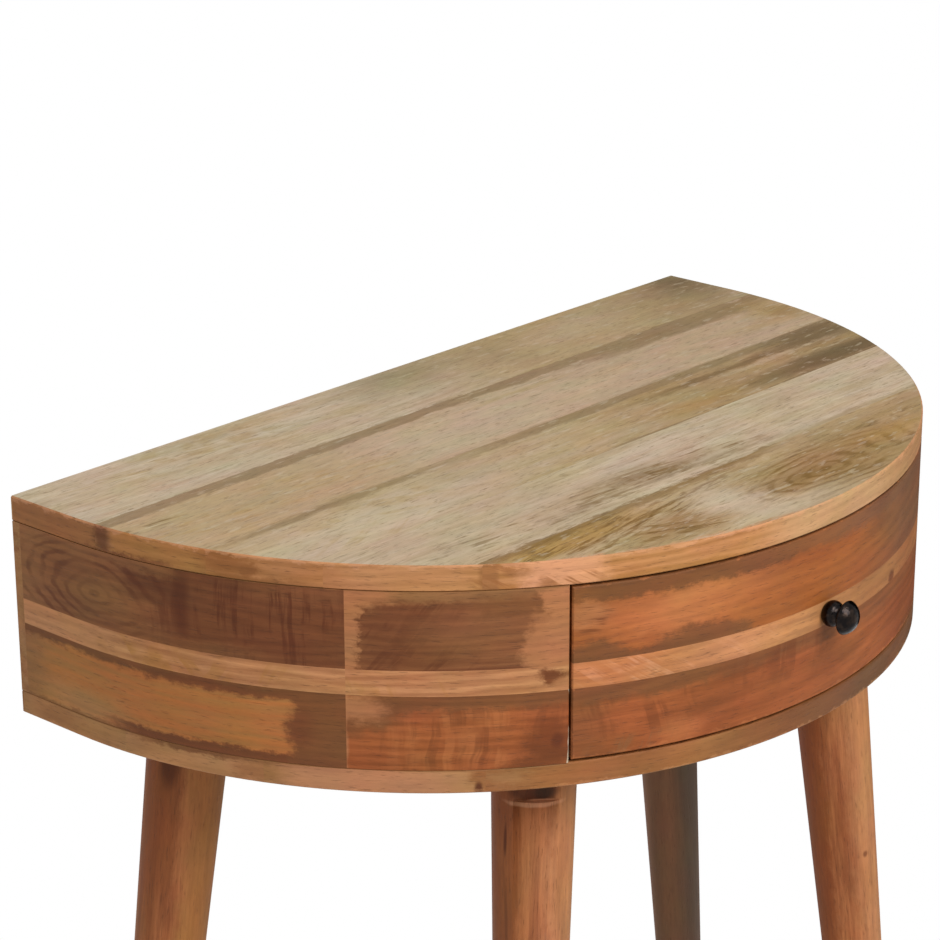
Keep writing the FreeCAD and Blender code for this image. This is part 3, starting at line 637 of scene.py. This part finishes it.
BLOCKS = {
    "apron_left_rear_upper": Wood("bark", "umber", [
        ("spot", "hazel", 0.85, -524, 95, 34, 60, 0.4),
        ("spot", "bark", 0.7, -447, 92, 60, 27, 0.4),
        ("rings", "coffee", 0.6, -450, 92, 76, 36, 7, 0, 2, 0.35),
        ("spot", "hazel", 0.35, -447, 91, 26, 11, 0.6),
        ("block", "umber", 0.8, -408, -290, 60, 130, 10),
        ("block", "bark", 0.5, -350, -290, 108, 130, 14, 4),
        ("knot", "coffee", 0.85, -393, 100, 5, 22, 0.6),
        ("spot", "coffee", 0.6, -414, 106, 16, 8, 0.7),
        ("ripple", "coffee", 0.8, -350, 95, 58, 36, 5, 0, 3),
        ("block", "bark", 0.5, -460, -340, 60, 79, 20, 3),
        ("block", "hazel", 0.5, -480, -400, 112, 130, 20, 3),
        # Painted light: a pale line on the block's upper arris, which offsets the shadow in its joint with
        # the top.
        ("bar", "hazel", 1, -560, -300, 117.8, 120, 4, 0.2),
    ], wander=1.5, heart=(92, -24, 0.04)),
    "apron_left_rear_strip": Wood("wheat", "sapwood", [
        ("block", "wheat", 0.7, -560, -440, 50, 80, 12),
        ("ripple", "amber", 0.8, -412, 65, 38, 10, 8, 40, 2),
        ("ripple", "amber", 0.6, -370, 65, 40, 10, 10, -35, 5),
    ], wander=1.5, heart=(40, -20, 0.03)),
    "apron_left_rear_lower": Wood("honey", "amber", [
        ("spot", "bran", 0.6, -470, 22, 34, 9, 0.8),
        ("block", "hazel", 0.85, -560, -502, 0, 70, 12),
        ("block", "soot", 0.95, -560, -300, 52.5, 70, 8, 2),
        ("spot", "umber", 0.75, -382, 54, 44, 3.5, 0.6),
        ("block", "umber", 0.95, -440, -290, 0, 19.5, 16, 1.6),
        ("block", "soot", 0.5, -540, -430, 0, 15.5, 16, 1.2),
        ("block", "soot", 0.95, -330, -280, 0, 70, 3, 3),
        ("knot", "umber", 0.6, -324, 36, 7, 11, 0.7),
    ], wander=2, heart=(34, -14, 0.05)),
    "apron_left_front_upper": Wood("bark", "umber", [
        ("spot", "umber", 0.8, -262, 92, 32, 24, 0.5),
        ("ripple", "coffee", 0.6, -262, 92, 40, 32, 5, -35, 4),
        ("spot", "bark", 0.8, -224, 94, 38, 14, 0.7),
        ("block", "hazel", 0.8, -285, -185, 112, 130, 12, 3),
        ("spot", "soot", 0.7, -208, 110, 28, 6, 0.6),
        ("block", "sapwood", 0.95, -310, -291.5, 60, 130, 2),
        ("spot", "sapwood", 0.9, -288, 115, 14, 6, 0.5),
        ("block", "sapwood", 0.95, -191, -170, 60, 130, 2.5),
        ("spot", "sapwood", 0.9, -194, 84, 9, 18, 0.4),
        # Painted light: a pale line on the block's upper arris, which offsets the shadow in its joint with
        # the top.
        ("bar", "hazel", 1, -320, -170, 117.8, 120, 4, 0.2),
    ], wander=2, heart=(120, -20, 0.06)),
    "apron_left_front_strip": Wood("wheat", "sapwood", [
        ("ripple", "amber", 0.6, -250, 65, 66, 10, 9, 25, 6),
        ("spot", "maroon", 0.95, -189, 66, 8, 3.5, 0.6, -20),
        ("knot", "sapwood", 0.7, -182, 61, 6, 4, 0.4),
        ("bar", "linen", 0.9, -177.8, -170, 0, 140, 0.3),
    ], wander=1.5, heart=(80, -20, 0.05)),
    "apron_left_front_lower": Wood("rust", "brick", [
        ("ripple", "ember", 0.45, -232, 34, 48, 24, 8, 4, 2, 0.1),
        ("ripple", "maroon", 0.45, -228, 36, 54, 30, 7, -3, 7),
        ("block", "soot", 0.9, -298, -170, 49, 70, 6, 3),
        ("spot", "soot", 0.85, -284, 47, 24, 9, 0.5, 25),
        ("spot", "maroon", 0.85, -188, 26, 15, 17, 0.6),
        ("knot", "coffee", 0.8, -184, 28, 3.5, 4, 0.5),
        ("spot", "maroon", 0.7, -204, 15, 12, 4, 0.5),
        ("bar", "sapwood", 0.9, -310, -297.5, 0, 70, 1.2),
        ("spot", "sapwood", 0.95, -292, 50, 14, 7, 0.6),
        ("bar", "linen", 0.9, -177.8, -170, 0, 140, 0.3),
    ], wander=2, heart=(20, -18, 0.06)),
    "apron_right_rear_upper": Wood("bark", "umber", [
        ("rings", "coffee", 0.6, 430, 96, 80, 30, 6, 0, 5),
        ("block", "sapwood", 0.9, 292, 304, 60, 130, 3),
        ("ripple", "coffee", 0.6, 340, 95, 50, 34, 6, 10, 6),
        ("spot", "hazel", 0.7, 515, 95, 30, 50, 0.4),
    ], wander=2, heart=(90, -24, 0.04)),
    "apron_right_rear_strip": Wood("wheat", "sapwood", [
        ("ripple", "amber", 0.5, 400, 65, 80, 10, 9, 25, 6),
    ]),
    "apron_right_rear_lower": Wood("honey", "copper", [
        ("block", "soot", 0.9, 330, 560, 50, 70, 10, 3),
        ("block", "soot", 0.8, 290, 480, 0, 20, 20, 2),
        ("spot", "brick", 0.7, 330, 36, 30, 20, 0.7),
    ], wander=2, heart=(34, -24, 0.05)),
    "apron_right_front_upper": Wood("copper", "brick", [
        ("block", "soot", 0.9, 170, 310, 104, 130, 20, 3),
        ("spot", "umber", 0.8, 250, 80, 40, 10, 0.5),
        ("block", "sapwood", 0.9, 286, 310, 60, 130, 4),
    ], wander=2, heart=(110, -20, -0.05)),
    "apron_right_front_strip": Wood("wheat", "biscuit", [
        ("ripple", "amber", 0.5, 240, 65, 60, 10, 9, -25, 3),
    ]),
    "apron_right_front_lower": Wood("rust", "brick", [
        ("ripple", "maroon", 0.5, 240, 36, 50, 30, 7, 5, 9),
        ("block", "soot", 0.8, 170, 280, 46, 70, 20, 4),
        ("block", "sapwood", 0.8, 170, 184, 0, 70, 3),
    ], wander=2, heart=(20, -18, 0.06)),
    "drawer_front_upper": Wood("copper", "brick", [
        ("spot", "ember", 0.95, -100, 95, 60, 15, 0.6),
        ("spot", "copper", 0.8, -10, 86, 70, 16, 0.6),
        # Painted shade: the drawer front's right end is darkened.
        ("block", "dun", 0.85, 60, 240, 60, 130, 50),
        ("spot", "sapwood", 0.6, -168, 100, 12, 8, 0.6),
        ("ripple", "maroon", 0.8, -165, 97, 9, 9, 3.2, 88, 3),
        ("block", "soot", 0.95, -190, 0, 107.5, 130, 40, 2.2),
        # Painted shade: the top border of the drawer front's right end is darkened.
        ("block", "dun", 0.7, 0, 240, 107, 130, 30, 4),
        ("block", "soot", 0.9, -190, -68, 60, 75.5, 8, 1.6),
        ("spot", "soot", 0.95, -164, 75, 18, 9, 0.35),
        ("spot", "soot", 0.95, -96, 72, 33, 11.5, 0.25),
        ("block", "ember", 0.5, -190, 190, 117.4, 130, 30, 0.8),
        ("block", "ember", 0.5, -190, -177, 60, 130, 0.6),
    ], wander=2, heart=(110, -30, 0.05)),
    "drawer_front_strip": Wood("biscuit", "sapwood", [
        ("block", "ember", 0.5, -190, -115, 50, 80, 20),
        ("spot", "blush", 0.35, -76, 66, 24, 9, 0.7),
        ("ripple", "blush", 0.6, -110, 65, 64, 10, 5, 55, 3, 0.1),
        ("block", "toast", 0.95, 20, 240, 50, 80, 40),
        ("block", "cocoa", 0.5, 90, 240, 50, 80, 30),
        ("spot", "sapwood", 0.5, -92, 65, 20, 10, 1),
        ("knot", "umber", 0.95, 80, 60, 4.5, 3.5, 0.4),
    ], wander=1.5, heart=(80, -20, 0.05)),
    "drawer_front_lower": Wood("rust", "brick", [
        ("block", "soot", 0.5, -190, -156, 0, 60, 12),
        ("ripple", "maroon", 0.6, -128, 42, 48, 18, 10, 8, 5),
        ("block", "soot", 0.9, -190, 10, 48, 70, 30, 3),
        ("block", "soot", 0.7, 10, 240, 46, 70, 40, 4),
        ("block", "maroon", 0.6, 70, 240, 0, 48, 40, 5),
        ("spot", "maroon", 0.55, -72, 46, 15, 7, 1),
        ("ripple", "maroon", 0.7, -40, 46, 40, 14, 8, -8, 4),
        ("spot", "brick", 0.55, -76, 32, 44, 12, 1.2),
        ("spot", "brick", 0.5, 0, 34, 36, 12, 1.2),
        ("spot", "maroon", 0.5, 8, 34, 20, 8, 1.1),
        ("spot", "maroon", 0.4, -92, 34, 14, 8, 1.1),
        ("spot", "ember", 0.5, -113, 22, 13, 6, 1),
        ("ripple", "bark", 0.8, -138, 18, 30, 7, 4, -30, 8, 0.1),
        ("block", "ember", 0.45, -190, 190, 0, 16.4, 30, 0.8),
        ("block", "ember", 0.5, -190, -177, 0, 70, 0.6),
    ], wander=2, heart=(20, -24, -0.05)),
}

# Straight pieces of the inside, each with its axes along, across and through the grain
PLAIN = {
    "drawer_side_left": "yzx", "drawer_side_right": "yzx", "drawer_rear": "xzy", "drawer_bottom": "xyz",
    "drawer_runner_left": "yzx", "drawer_runner_right": "yzx", "drawer_kicker_left": "yzx",
    "drawer_kicker_right": "yzx", "drawer_stop_left": "xzy", "drawer_stop_right": "xzy",
}
BOX_WOOD = Wood("maple", "cream", wander=3, figure=0.06, ring=8, heart=(60, 60, 0.04))
PANEL_WOOD = Wood("board", "cocoa", [
    ("rings", "cocoa", 0.6, -60, 62, 190, 44, 6, 2, 4),
    ("ripple", "cocoa", 0.7, 130, 70, 160, 50, 7, 86, 9),
    ("ripple", "bran", 0.5, -200, 60, 120, 50, 8, 84, 5),
    ("block", "bran", 0.5, -320, -297, 0, 140, 1.2),
    ("block", "bran", 0.5, 297, 320, 0, 140, 1.2),
], wander=4, figure=0.08, ring=9, heart=(60, -40, 0.05))
FIXINGS = ("hanger_bolts", "tee_nuts", "knob_screw", "base_screws", "back_screws", "runner_screws",
           "kicker_screws")
NOTCHED = "leg_front_left"

# Marks on a leg lie along it from its head, and across and towards the camera from its middle.
LEG_GRAIN = {"wander": 2, "figure": 0.07, "ring": 9}
WORN_FOOT = ("block", "peach", 0.6, 612, 700, -40, 40, 5)
LEGS = {
    "leg_front_left": Wood("chestnut", "russet", [
        # Painted shade and painted light: the leg's left side, as the camera sees it, is darker and its right
        # side lighter, over its own grain.
        ("block", "russet", 0.75, -20, 700, -40, -9, 30, 3),
        ("block", "peach", 0.5, -20, 700, 9, 40, 30, 6),
        ("knot", "coffee", 0.9, 49, -16, 10, 0.7, 0.5),
        ("knot", "umber", 0.6, 98, -15, 26, 0.8, 0.7, 3),
        # Painted shade and painted highlight: the notch under the head is darkened at its back, and its ledge
        # is a pale lit rim.
        ("knot", "coffee", 0.9, 16, -1, 9, 14, 0.3, 0, 20, 12),
        ("knot", "pore", 0.95, 20, 5, 5, 6, 0.5, 0, 20, 12),
        ("knot", "blush", 0.9, 25.5, 0, 1.8, 15, 0.4, 0, 24, 24),
        WORN_FOOT,
    ], heart=(34, -10, 0.03), **LEG_GRAIN),
    "leg_front_right": Wood("chestnut", "russet", [
        # Painted shade and painted light: the leg's left side, as the camera sees it, is darker and its right
        # side lighter, over its own grain.
        ("block", "brick", 0.8, -20, 700, -40, -10, 30, 3),
        ("block", "peach", 0.6, -20, 700, 6, 40, 30, 8),
        ("knot", "umber", 0.8, 170, 12, 2, 1.5, 0.5),
        WORN_FOOT,
    ], heart=(30, -20, 0.02), **LEG_GRAIN),
    "leg_back_left": Wood("chestnut", "russet", [
        # Painted shade: the upper part of the leg's left side, as the camera sees it, is darker, over its own
        # grain.
        ("block", "russet", 0.8, -40, 120, -40, 0, 40, 4),
        ("spot", "russet", 0.6, 60, -14, 90, 8, 0.6),
        # Painted light: the leg's right side, as the camera sees it, is lighter, partly its own orange wood.
        ("block", "amber", 0.7, 36, 700, 5, 40, 14, 5),
        ("knot", "coffee", 0.8, 36, -8, 16, 5.5, 0.5),
        WORN_FOOT,
    ], heart=(-30, -14, 0.04), **LEG_GRAIN),
    "leg_back_right": Wood("chestnut", "russet", [
        # Painted shade: the half of this leg that faces the camera is darkened, partly also a darker wood.
        ("knot", "dun", 1, 0, 0, ENDLESS, 34, 0.5, 0, 24, 34),
        # Painted shade: the leg's right side, as the camera sees it, is darkened like the shaded side of a
        # cylinder.
        ("knot", "peat", 0.9, 0, 22, ENDLESS, 19, 0.4, 0, 24, 24),
        ("knot", "coffee", 0.9, 105, -3, 5, 3, 0.5),
        ("rings", "umber", 0.6, 105, -3, 18, 9, 3),
        WORN_FOOT,
    ], heart=(28, 12, 0.03), **LEG_GRAIN),
}


class TABLE_OT_top(bpy.types.Operator):
    """Dresses the five boards of the top"""
    bl_idname = "table.top"
    bl_label = "Top"

    def execute(self, context):
        for seed, (node, wood) in enumerate(TOP_BOARDS.items(), TOP_SEED):
            dress(node, board_material(node, wood, TOP_EDGE, seed))
        return {"FINISHED"}


class TABLE_OT_base(bpy.types.Operator):
    """Dresses the four boards of the base"""
    bl_idname = "table.base"
    bl_label = "Base"

    def execute(self, context):
        for seed, node in enumerate(BASE_BOARDS, BASE_SEED):
            dress(node, board_material(node, SHADED_BASE_WOOD, BASE_EDGE, seed))
        return {"FINISHED"}


class TABLE_OT_apron(bpy.types.Operator):
    """Dresses the curved blocks of the apron and the drawer front"""
    bl_idname = "table.apron"
    bl_label = "Apron and drawer front"

    def execute(self, context):
        for seed, (node, wood) in enumerate(BLOCKS.items(), BLOCK_SEED):
            dress(node, block_material(node, wood, seed))
        return {"FINISHED"}


class TABLE_OT_inside(bpy.types.Operator):
    """Dresses the drawer box, the rails and the rear panel"""
    bl_idname = "table.inside"
    bl_label = "Drawer box and rear panel"

    def execute(self, context):
        for seed, (node, order) in enumerate(PLAIN.items(), BOX_SEED):
            dress(node, plain_material(node, BOX_WOOD, order, seed))
        dress("back_panel", plain_material("back_panel", PANEL_WOOD, "xzy", PANEL_SEED))
        return {"FINISHED"}


class TABLE_OT_legs(bpy.types.Operator):
    """Turns the four tapered legs and dresses them"""
    bl_idname = "table.legs"
    bl_label = "Legs"

    def execute(self, context):
        sizes = context.scene.table_legs
        for seed, (node, wood) in enumerate(LEGS.items(), LEG_SEED):
            foot, head = leg_ends(node)
            notch = sizes.notch_deep if node == NOTCHED else 0
            leg = turn_leg(node + "_turned", foot, head, sizes, notch)
            material, surface, place = new_material(node)
            lean = facing(foot - head, context.scene.table_stage.azimuth)
            wax(surface, *wood.colour(place.seen_from(head, lean, TO_MILLIMETRES), seed))
            leg.data.materials.append(material)
            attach(leg, "carcass")
            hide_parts(node)
        return {"FINISHED"}


def facing(axis, azimuth):
    """The turn of axes with the first along a leg and the third towards an azimuth."""
    down = axis.normalized()
    side = direction(azimuth, 0).cross(down).normalized()
    return Matrix((down, side, down.cross(side))).transposed().to_euler()


def leg_ends(node):
    """The middle of a leg's foot and of its head, read from its solid."""
    corners = [vertex.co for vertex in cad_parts[node].data.vertices]
    ends = []
    for level in (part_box(node)[0].z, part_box(node)[1].z):
        rim = [corner for corner in corners if abs(corner.z - level) < MILLIMETRE / 10]
        middle = [(min(corner[axis] for corner in rim) + max(corner[axis] for corner in rim)) / 2
                  for axis in (0, 1)]
        ends.append(Vector((*middle, level)))
    return ends


def whole(shape):
    """All vertices, edges and faces of a shape."""
    return shape.verts[:] + shape.edges[:] + shape.faces[:]


def turn_leg(name, foot, head, sizes, notch):
    """A leaning cone cut level at the foot and at the head, with eased rims and perhaps a notch."""
    axis = head - foot
    taper = (sizes.head - sizes.foot) / 2 / axis.length
    spare = sizes.head
    shape = bmesh.new()
    stand = Matrix.Translation((foot + head) / 2) @ axis.to_track_quat("Z", "Y").to_matrix().to_4x4()
    bmesh.ops.create_cone(shape, cap_ends=True, segments=sizes.sides, depth=axis.length + 2 * spare,
                          radius1=sizes.foot / 2 - taper * spare, radius2=sizes.head / 2 + taper * spare,
                          matrix=stand)
    for end, outward in ((foot, -1), (head, 1)):
        cut = bmesh.ops.bisect_plane(shape, geom=whole(shape), plane_co=end, plane_no=(0, 0, outward),
                                     clear_outer=True)
        rim = [part for part in cut["geom_cut"] if isinstance(part, bmesh.types.BMEdge)]
        bmesh.ops.contextual_create(shape, geom=rim)
        bmesh.ops.bevel(shape, geom=rim, offset=sizes.rim, segments=3, profile=0.5, affect="EDGES",
                        material=-1)
    for face in shape.faces:
        face.smooth = len(face.verts) == 4
    if notch:
        toward = direction(sizes.notch_turn, 0)
        toward = (toward - axis * (toward.dot(axis) / axis.length_squared)).normalized()
        cut_notch(shape, head + toward * (sizes.head / 2 - notch), toward, head.z - sizes.notch_high)
    bmesh.ops.recalc_face_normals(shape, faces=shape.faces[:])
    return new_object(name, shape)


def cut_notch(shape, back, toward, level):
    """Cuts away what lies over a level and before a steep back, and closes the ledge and the back."""
    hair = MILLIMETRE / 100
    bmesh.ops.bisect_plane(shape, geom=whole(shape), plane_co=(0, 0, level), plane_no=(0, 0, 1))
    upper = {vertex for vertex in shape.verts if vertex.co.z > level - hair}
    geom = [*upper, *(part for part in shape.edges[:] + shape.faces[:] if upper.issuperset(part.verts))]
    bmesh.ops.bisect_plane(shape, geom=geom, plane_co=back, plane_no=toward)
    waste = [face for face in shape.faces if face.calc_center_median().z > level + hair
             and (face.calc_center_median() - back).dot(toward) > 0]
    bmesh.ops.delete(shape, geom=waste, context="FACES")
    rim = [edge for edge in shape.edges if edge.is_boundary]
    ledge = [edge for edge in rim if all(abs(vertex.co.z - level) < hair for vertex in edge.verts)]
    upright = [edge for edge in rim if edge not in ledge]
    corners = list({v for edge in ledge for v in edge.verts} & {v for edge in upright for v in edge.verts})
    chord = bmesh.ops.contextual_create(shape, geom=corners)["edges"]
    for loop in (ledge, upright):
        bmesh.ops.contextual_create(shape, geom=loop + chord)["faces"][0].smooth = False


def new_object(name, shape):
    """An object of a finished shape, linked into the scene."""
    mesh = bpy.data.meshes.new(name)
    shape.to_mesh(mesh)
    shape.free()
    made = bpy.data.objects.new(name, mesh)
    bpy.context.scene.collection.objects.link(made)
    return made


class TABLE_OT_metal(bpy.types.Operator):
    """Dresses the knob, screws, bolts and nuts"""
    bl_idname = "table.metal"
    bl_label = "Knob and fixings"

    def execute(self, context):
        finish = context.scene.table_finish
        dress("knob", metal_material("bronze", finish.bronze, finish.rubbed, finish.bronze_rough))
        steel = metal_material("steel", finish.steel, finish.dulled, finish.steel_rough)
        for node in FIXINGS:
            dress(node, steel)
        return {"FINISHED"}


def metal_material(name, bare, worn, rough):
    """Metal with an uneven skin, worn or dulled in patches."""
    material, surface, place = new_material(name)
    tree = place.tree
    grain = place.seen_from((0, 0, 0), scale=TO_MILLIMETRES)
    patches = grain.noise((0.25, 0.25, 0.25), 3, 4, 0.6).ramp(0.42, 0.75)
    speckle = grain.noise((0.7, 0.7, 0.7), 8, 3, 0.6)
    colour = patches.between(bare, worn)
    gloss = (rough - METAL_SPREAD / 2) + speckle * METAL_SPREAD + patches * METAL_WEAR
    bump = grain.node("ShaderNodeBump", {}, {"Strength": BUMP_STRENGTH, "Distance": MILLIMETRE / 3,
                                             "Height": speckle})
    for field, socket in ((colour, "Base Color"), (gloss, "Roughness"), (bump, "Normal")):
        tree.links.new(field.socket, surface.inputs[socket])
    surface.inputs["Metallic"].default_value = 1
    return material


class TABLE_OT_stage(bpy.types.Operator):
    """Sets up the floor, the light and the camera"""
    bl_idname = "table.stage"
    bl_label = "Stage"

    def execute(self, context):
        stage = context.scene.table_stage
        context.scene.view_settings.view_transform = "Standard"
        add_camera(context, stage)
        add_lamp(context, stage)
        add_sky(context, stage)
        add_floor(stage)
        add_flag(stage)
        return {"FINISHED"}


def direction(azimuth, elevation):
    """The way from the table to a place at an azimuth and an elevation."""
    return Vector((math.sin(azimuth) * math.cos(elevation), -math.cos(azimuth) * math.cos(elevation),
                   math.sin(elevation)))


def add_camera(context, stage):
    """A camera at the stage's place, turned by its three angles."""
    back = direction(stage.azimuth, stage.elevation)
    right = Vector((math.cos(stage.azimuth), math.sin(stage.azimuth), 0))
    up = back.cross(right)
    across = right * math.cos(stage.roll) + up * math.sin(stage.roll)
    upward = up * math.cos(stage.roll) - right * math.sin(stage.roll)
    data = bpy.data.cameras.new("camera")
    data.sensor_width = FILM
    data.lens = stage.lens
    data.clip_end = VIEW_END
    camera = bpy.data.objects.new("camera", data)
    turn = Matrix((across, upward, back)).transposed().to_4x4()
    camera.matrix_world = Matrix.Translation(stage.place) @ turn
    context.scene.collection.objects.link(camera)
    context.scene.camera = camera


def add_lamp(context, stage):
    """A round soft lamp that faces the table's apron."""
    data = bpy.data.lights.new("key", "AREA")
    data.shape = "DISK"
    data.size = stage.key_wide
    data.energy = stage.key_watts
    lamp = bpy.data.objects.new("key", data)
    way = direction(stage.key_azimuth, stage.key_elevation)
    turn = way.to_track_quat("Z", "Y").to_matrix().to_4x4()
    lamp.matrix_world = Matrix.Translation(Vector(stage.key_aim) + way * stage.key_far) @ turn
    context.scene.collection.objects.link(lamp)


def seen_directly(tree):
    """Whether a ray comes from the camera, a mirror or glass."""
    path = tree.nodes.new("ShaderNodeLightPath")
    camera, glossy, clear = (Field(tree, path.outputs[f"Is {kind} Ray"]) for kind in
                             ("Camera", "Glossy", "Transmission"))
    return camera.math("MAXIMUM", camera.math("MAXIMUM", camera, glossy), clear)


def add_sky(context, stage):
    """Even light from all round that shows as white."""
    world = bpy.data.worlds.new("studio")
    context.scene.world = world
    world.use_nodes = True
    tree = world.node_tree
    lit = tree.nodes["Background"]
    lit.inputs["Color"].default_value = WHITE
    direct = seen_directly(tree)
    strength = stage.sky + direct * (1 - stage.sky)
    tree.links.new(strength.socket, lit.inputs["Strength"])


def add_floor(stage):
    """A wide pale floor with the table's shadow, which runs out into white and is clear from below."""
    shape = bmesh.new()
    bmesh.ops.create_grid(shape, x_segments=1, y_segments=1, size=FLOOR_HALF)
    floor = new_object("floor", shape)
    material, surface, place = new_material("floor")
    tree = material.node_tree
    surface.inputs["Base Color"].default_value = stage.floor
    surface.inputs["Roughness"].default_value = MATT
    far = place.vector("LENGTH", place, output=1).ramp(stage.pool, stage.pool_end) * seen_directly(tree)
    glow = place.node("ShaderNodeEmission", {}, {"Color": WHITE, "Strength": 1})
    above = place.node("ShaderNodeMixShader", {}, {0: far, 1: Field(tree, surface.outputs[0]), 2: glow})
    below = place.node("ShaderNodeNewGeometry", {}, {}, "Backfacing")
    clear = place.node("ShaderNodeBsdfTransparent", {}, {})
    mix = place.node("ShaderNodeMixShader", {}, {0: below, 1: above, 2: clear})
    tree.links.new(mix.socket, tree.nodes["Material Output"].inputs["Surface"])
    floor.data.materials.append(material)


def add_flag(stage):
    """A dark card at the right that only reflections see, so that the drawer's far end stays rich."""
    shape = bmesh.new()
    stand = Matrix.Translation(stage.flag_place) @ Matrix.Rotation(math.pi / 2, 4, "Y")
    bmesh.ops.create_grid(shape, x_segments=1, y_segments=1, size=FLAG_HALF, matrix=stand)
    flag = new_object("flag", shape)
    for kind in ("camera", "diffuse", "shadow", "transmission"):
        setattr(flag, f"visible_{kind}", False)
    material, surface = new_material("flag")[:2]
    surface.inputs["Base Color"].default_value = FLAG_BLACK
    surface.inputs["Specular IOR Level"].default_value = 0
    flag.data.materials.append(material)


class TABLE_PT_panel(bpy.types.Panel):
    """The table's pieces in the sidebar"""
    bl_label = "Half-moon table"
    bl_space_type = "VIEW_3D"
    bl_region_type = "UI"
    bl_category = "Table"

    def draw(self, context):
        for operator in OPERATORS:
            self.layout.operator(operator.bl_idname)


OPERATORS = (TABLE_OT_top, TABLE_OT_base, TABLE_OT_apron, TABLE_OT_inside, TABLE_OT_legs, TABLE_OT_metal,
             TABLE_OT_stage)
GROUPS = {"table_wood": TableWood, "table_finish": TableFinish, "table_legs": TableLegs,
          "table_stage": TableStage}
CLASSES = (*GROUPS.values(), *OPERATORS, TABLE_PT_panel)


def register():
    for cls in CLASSES:
        bpy.utils.register_class(cls)
    for name, group in GROUPS.items():
        setattr(bpy.types.Scene, name, PointerProperty(type=group))


def unregister():
    for name in GROUPS:
        delattr(bpy.types.Scene, name)
    for cls in reversed(CLASSES):
        bpy.utils.unregister_class(cls)


def main():
    register()
    for operator in OPERATORS:
        group, name = operator.bl_idname.split(".")
        getattr(getattr(bpy.ops, group), name)()


if __name__ == "__main__":
    main()
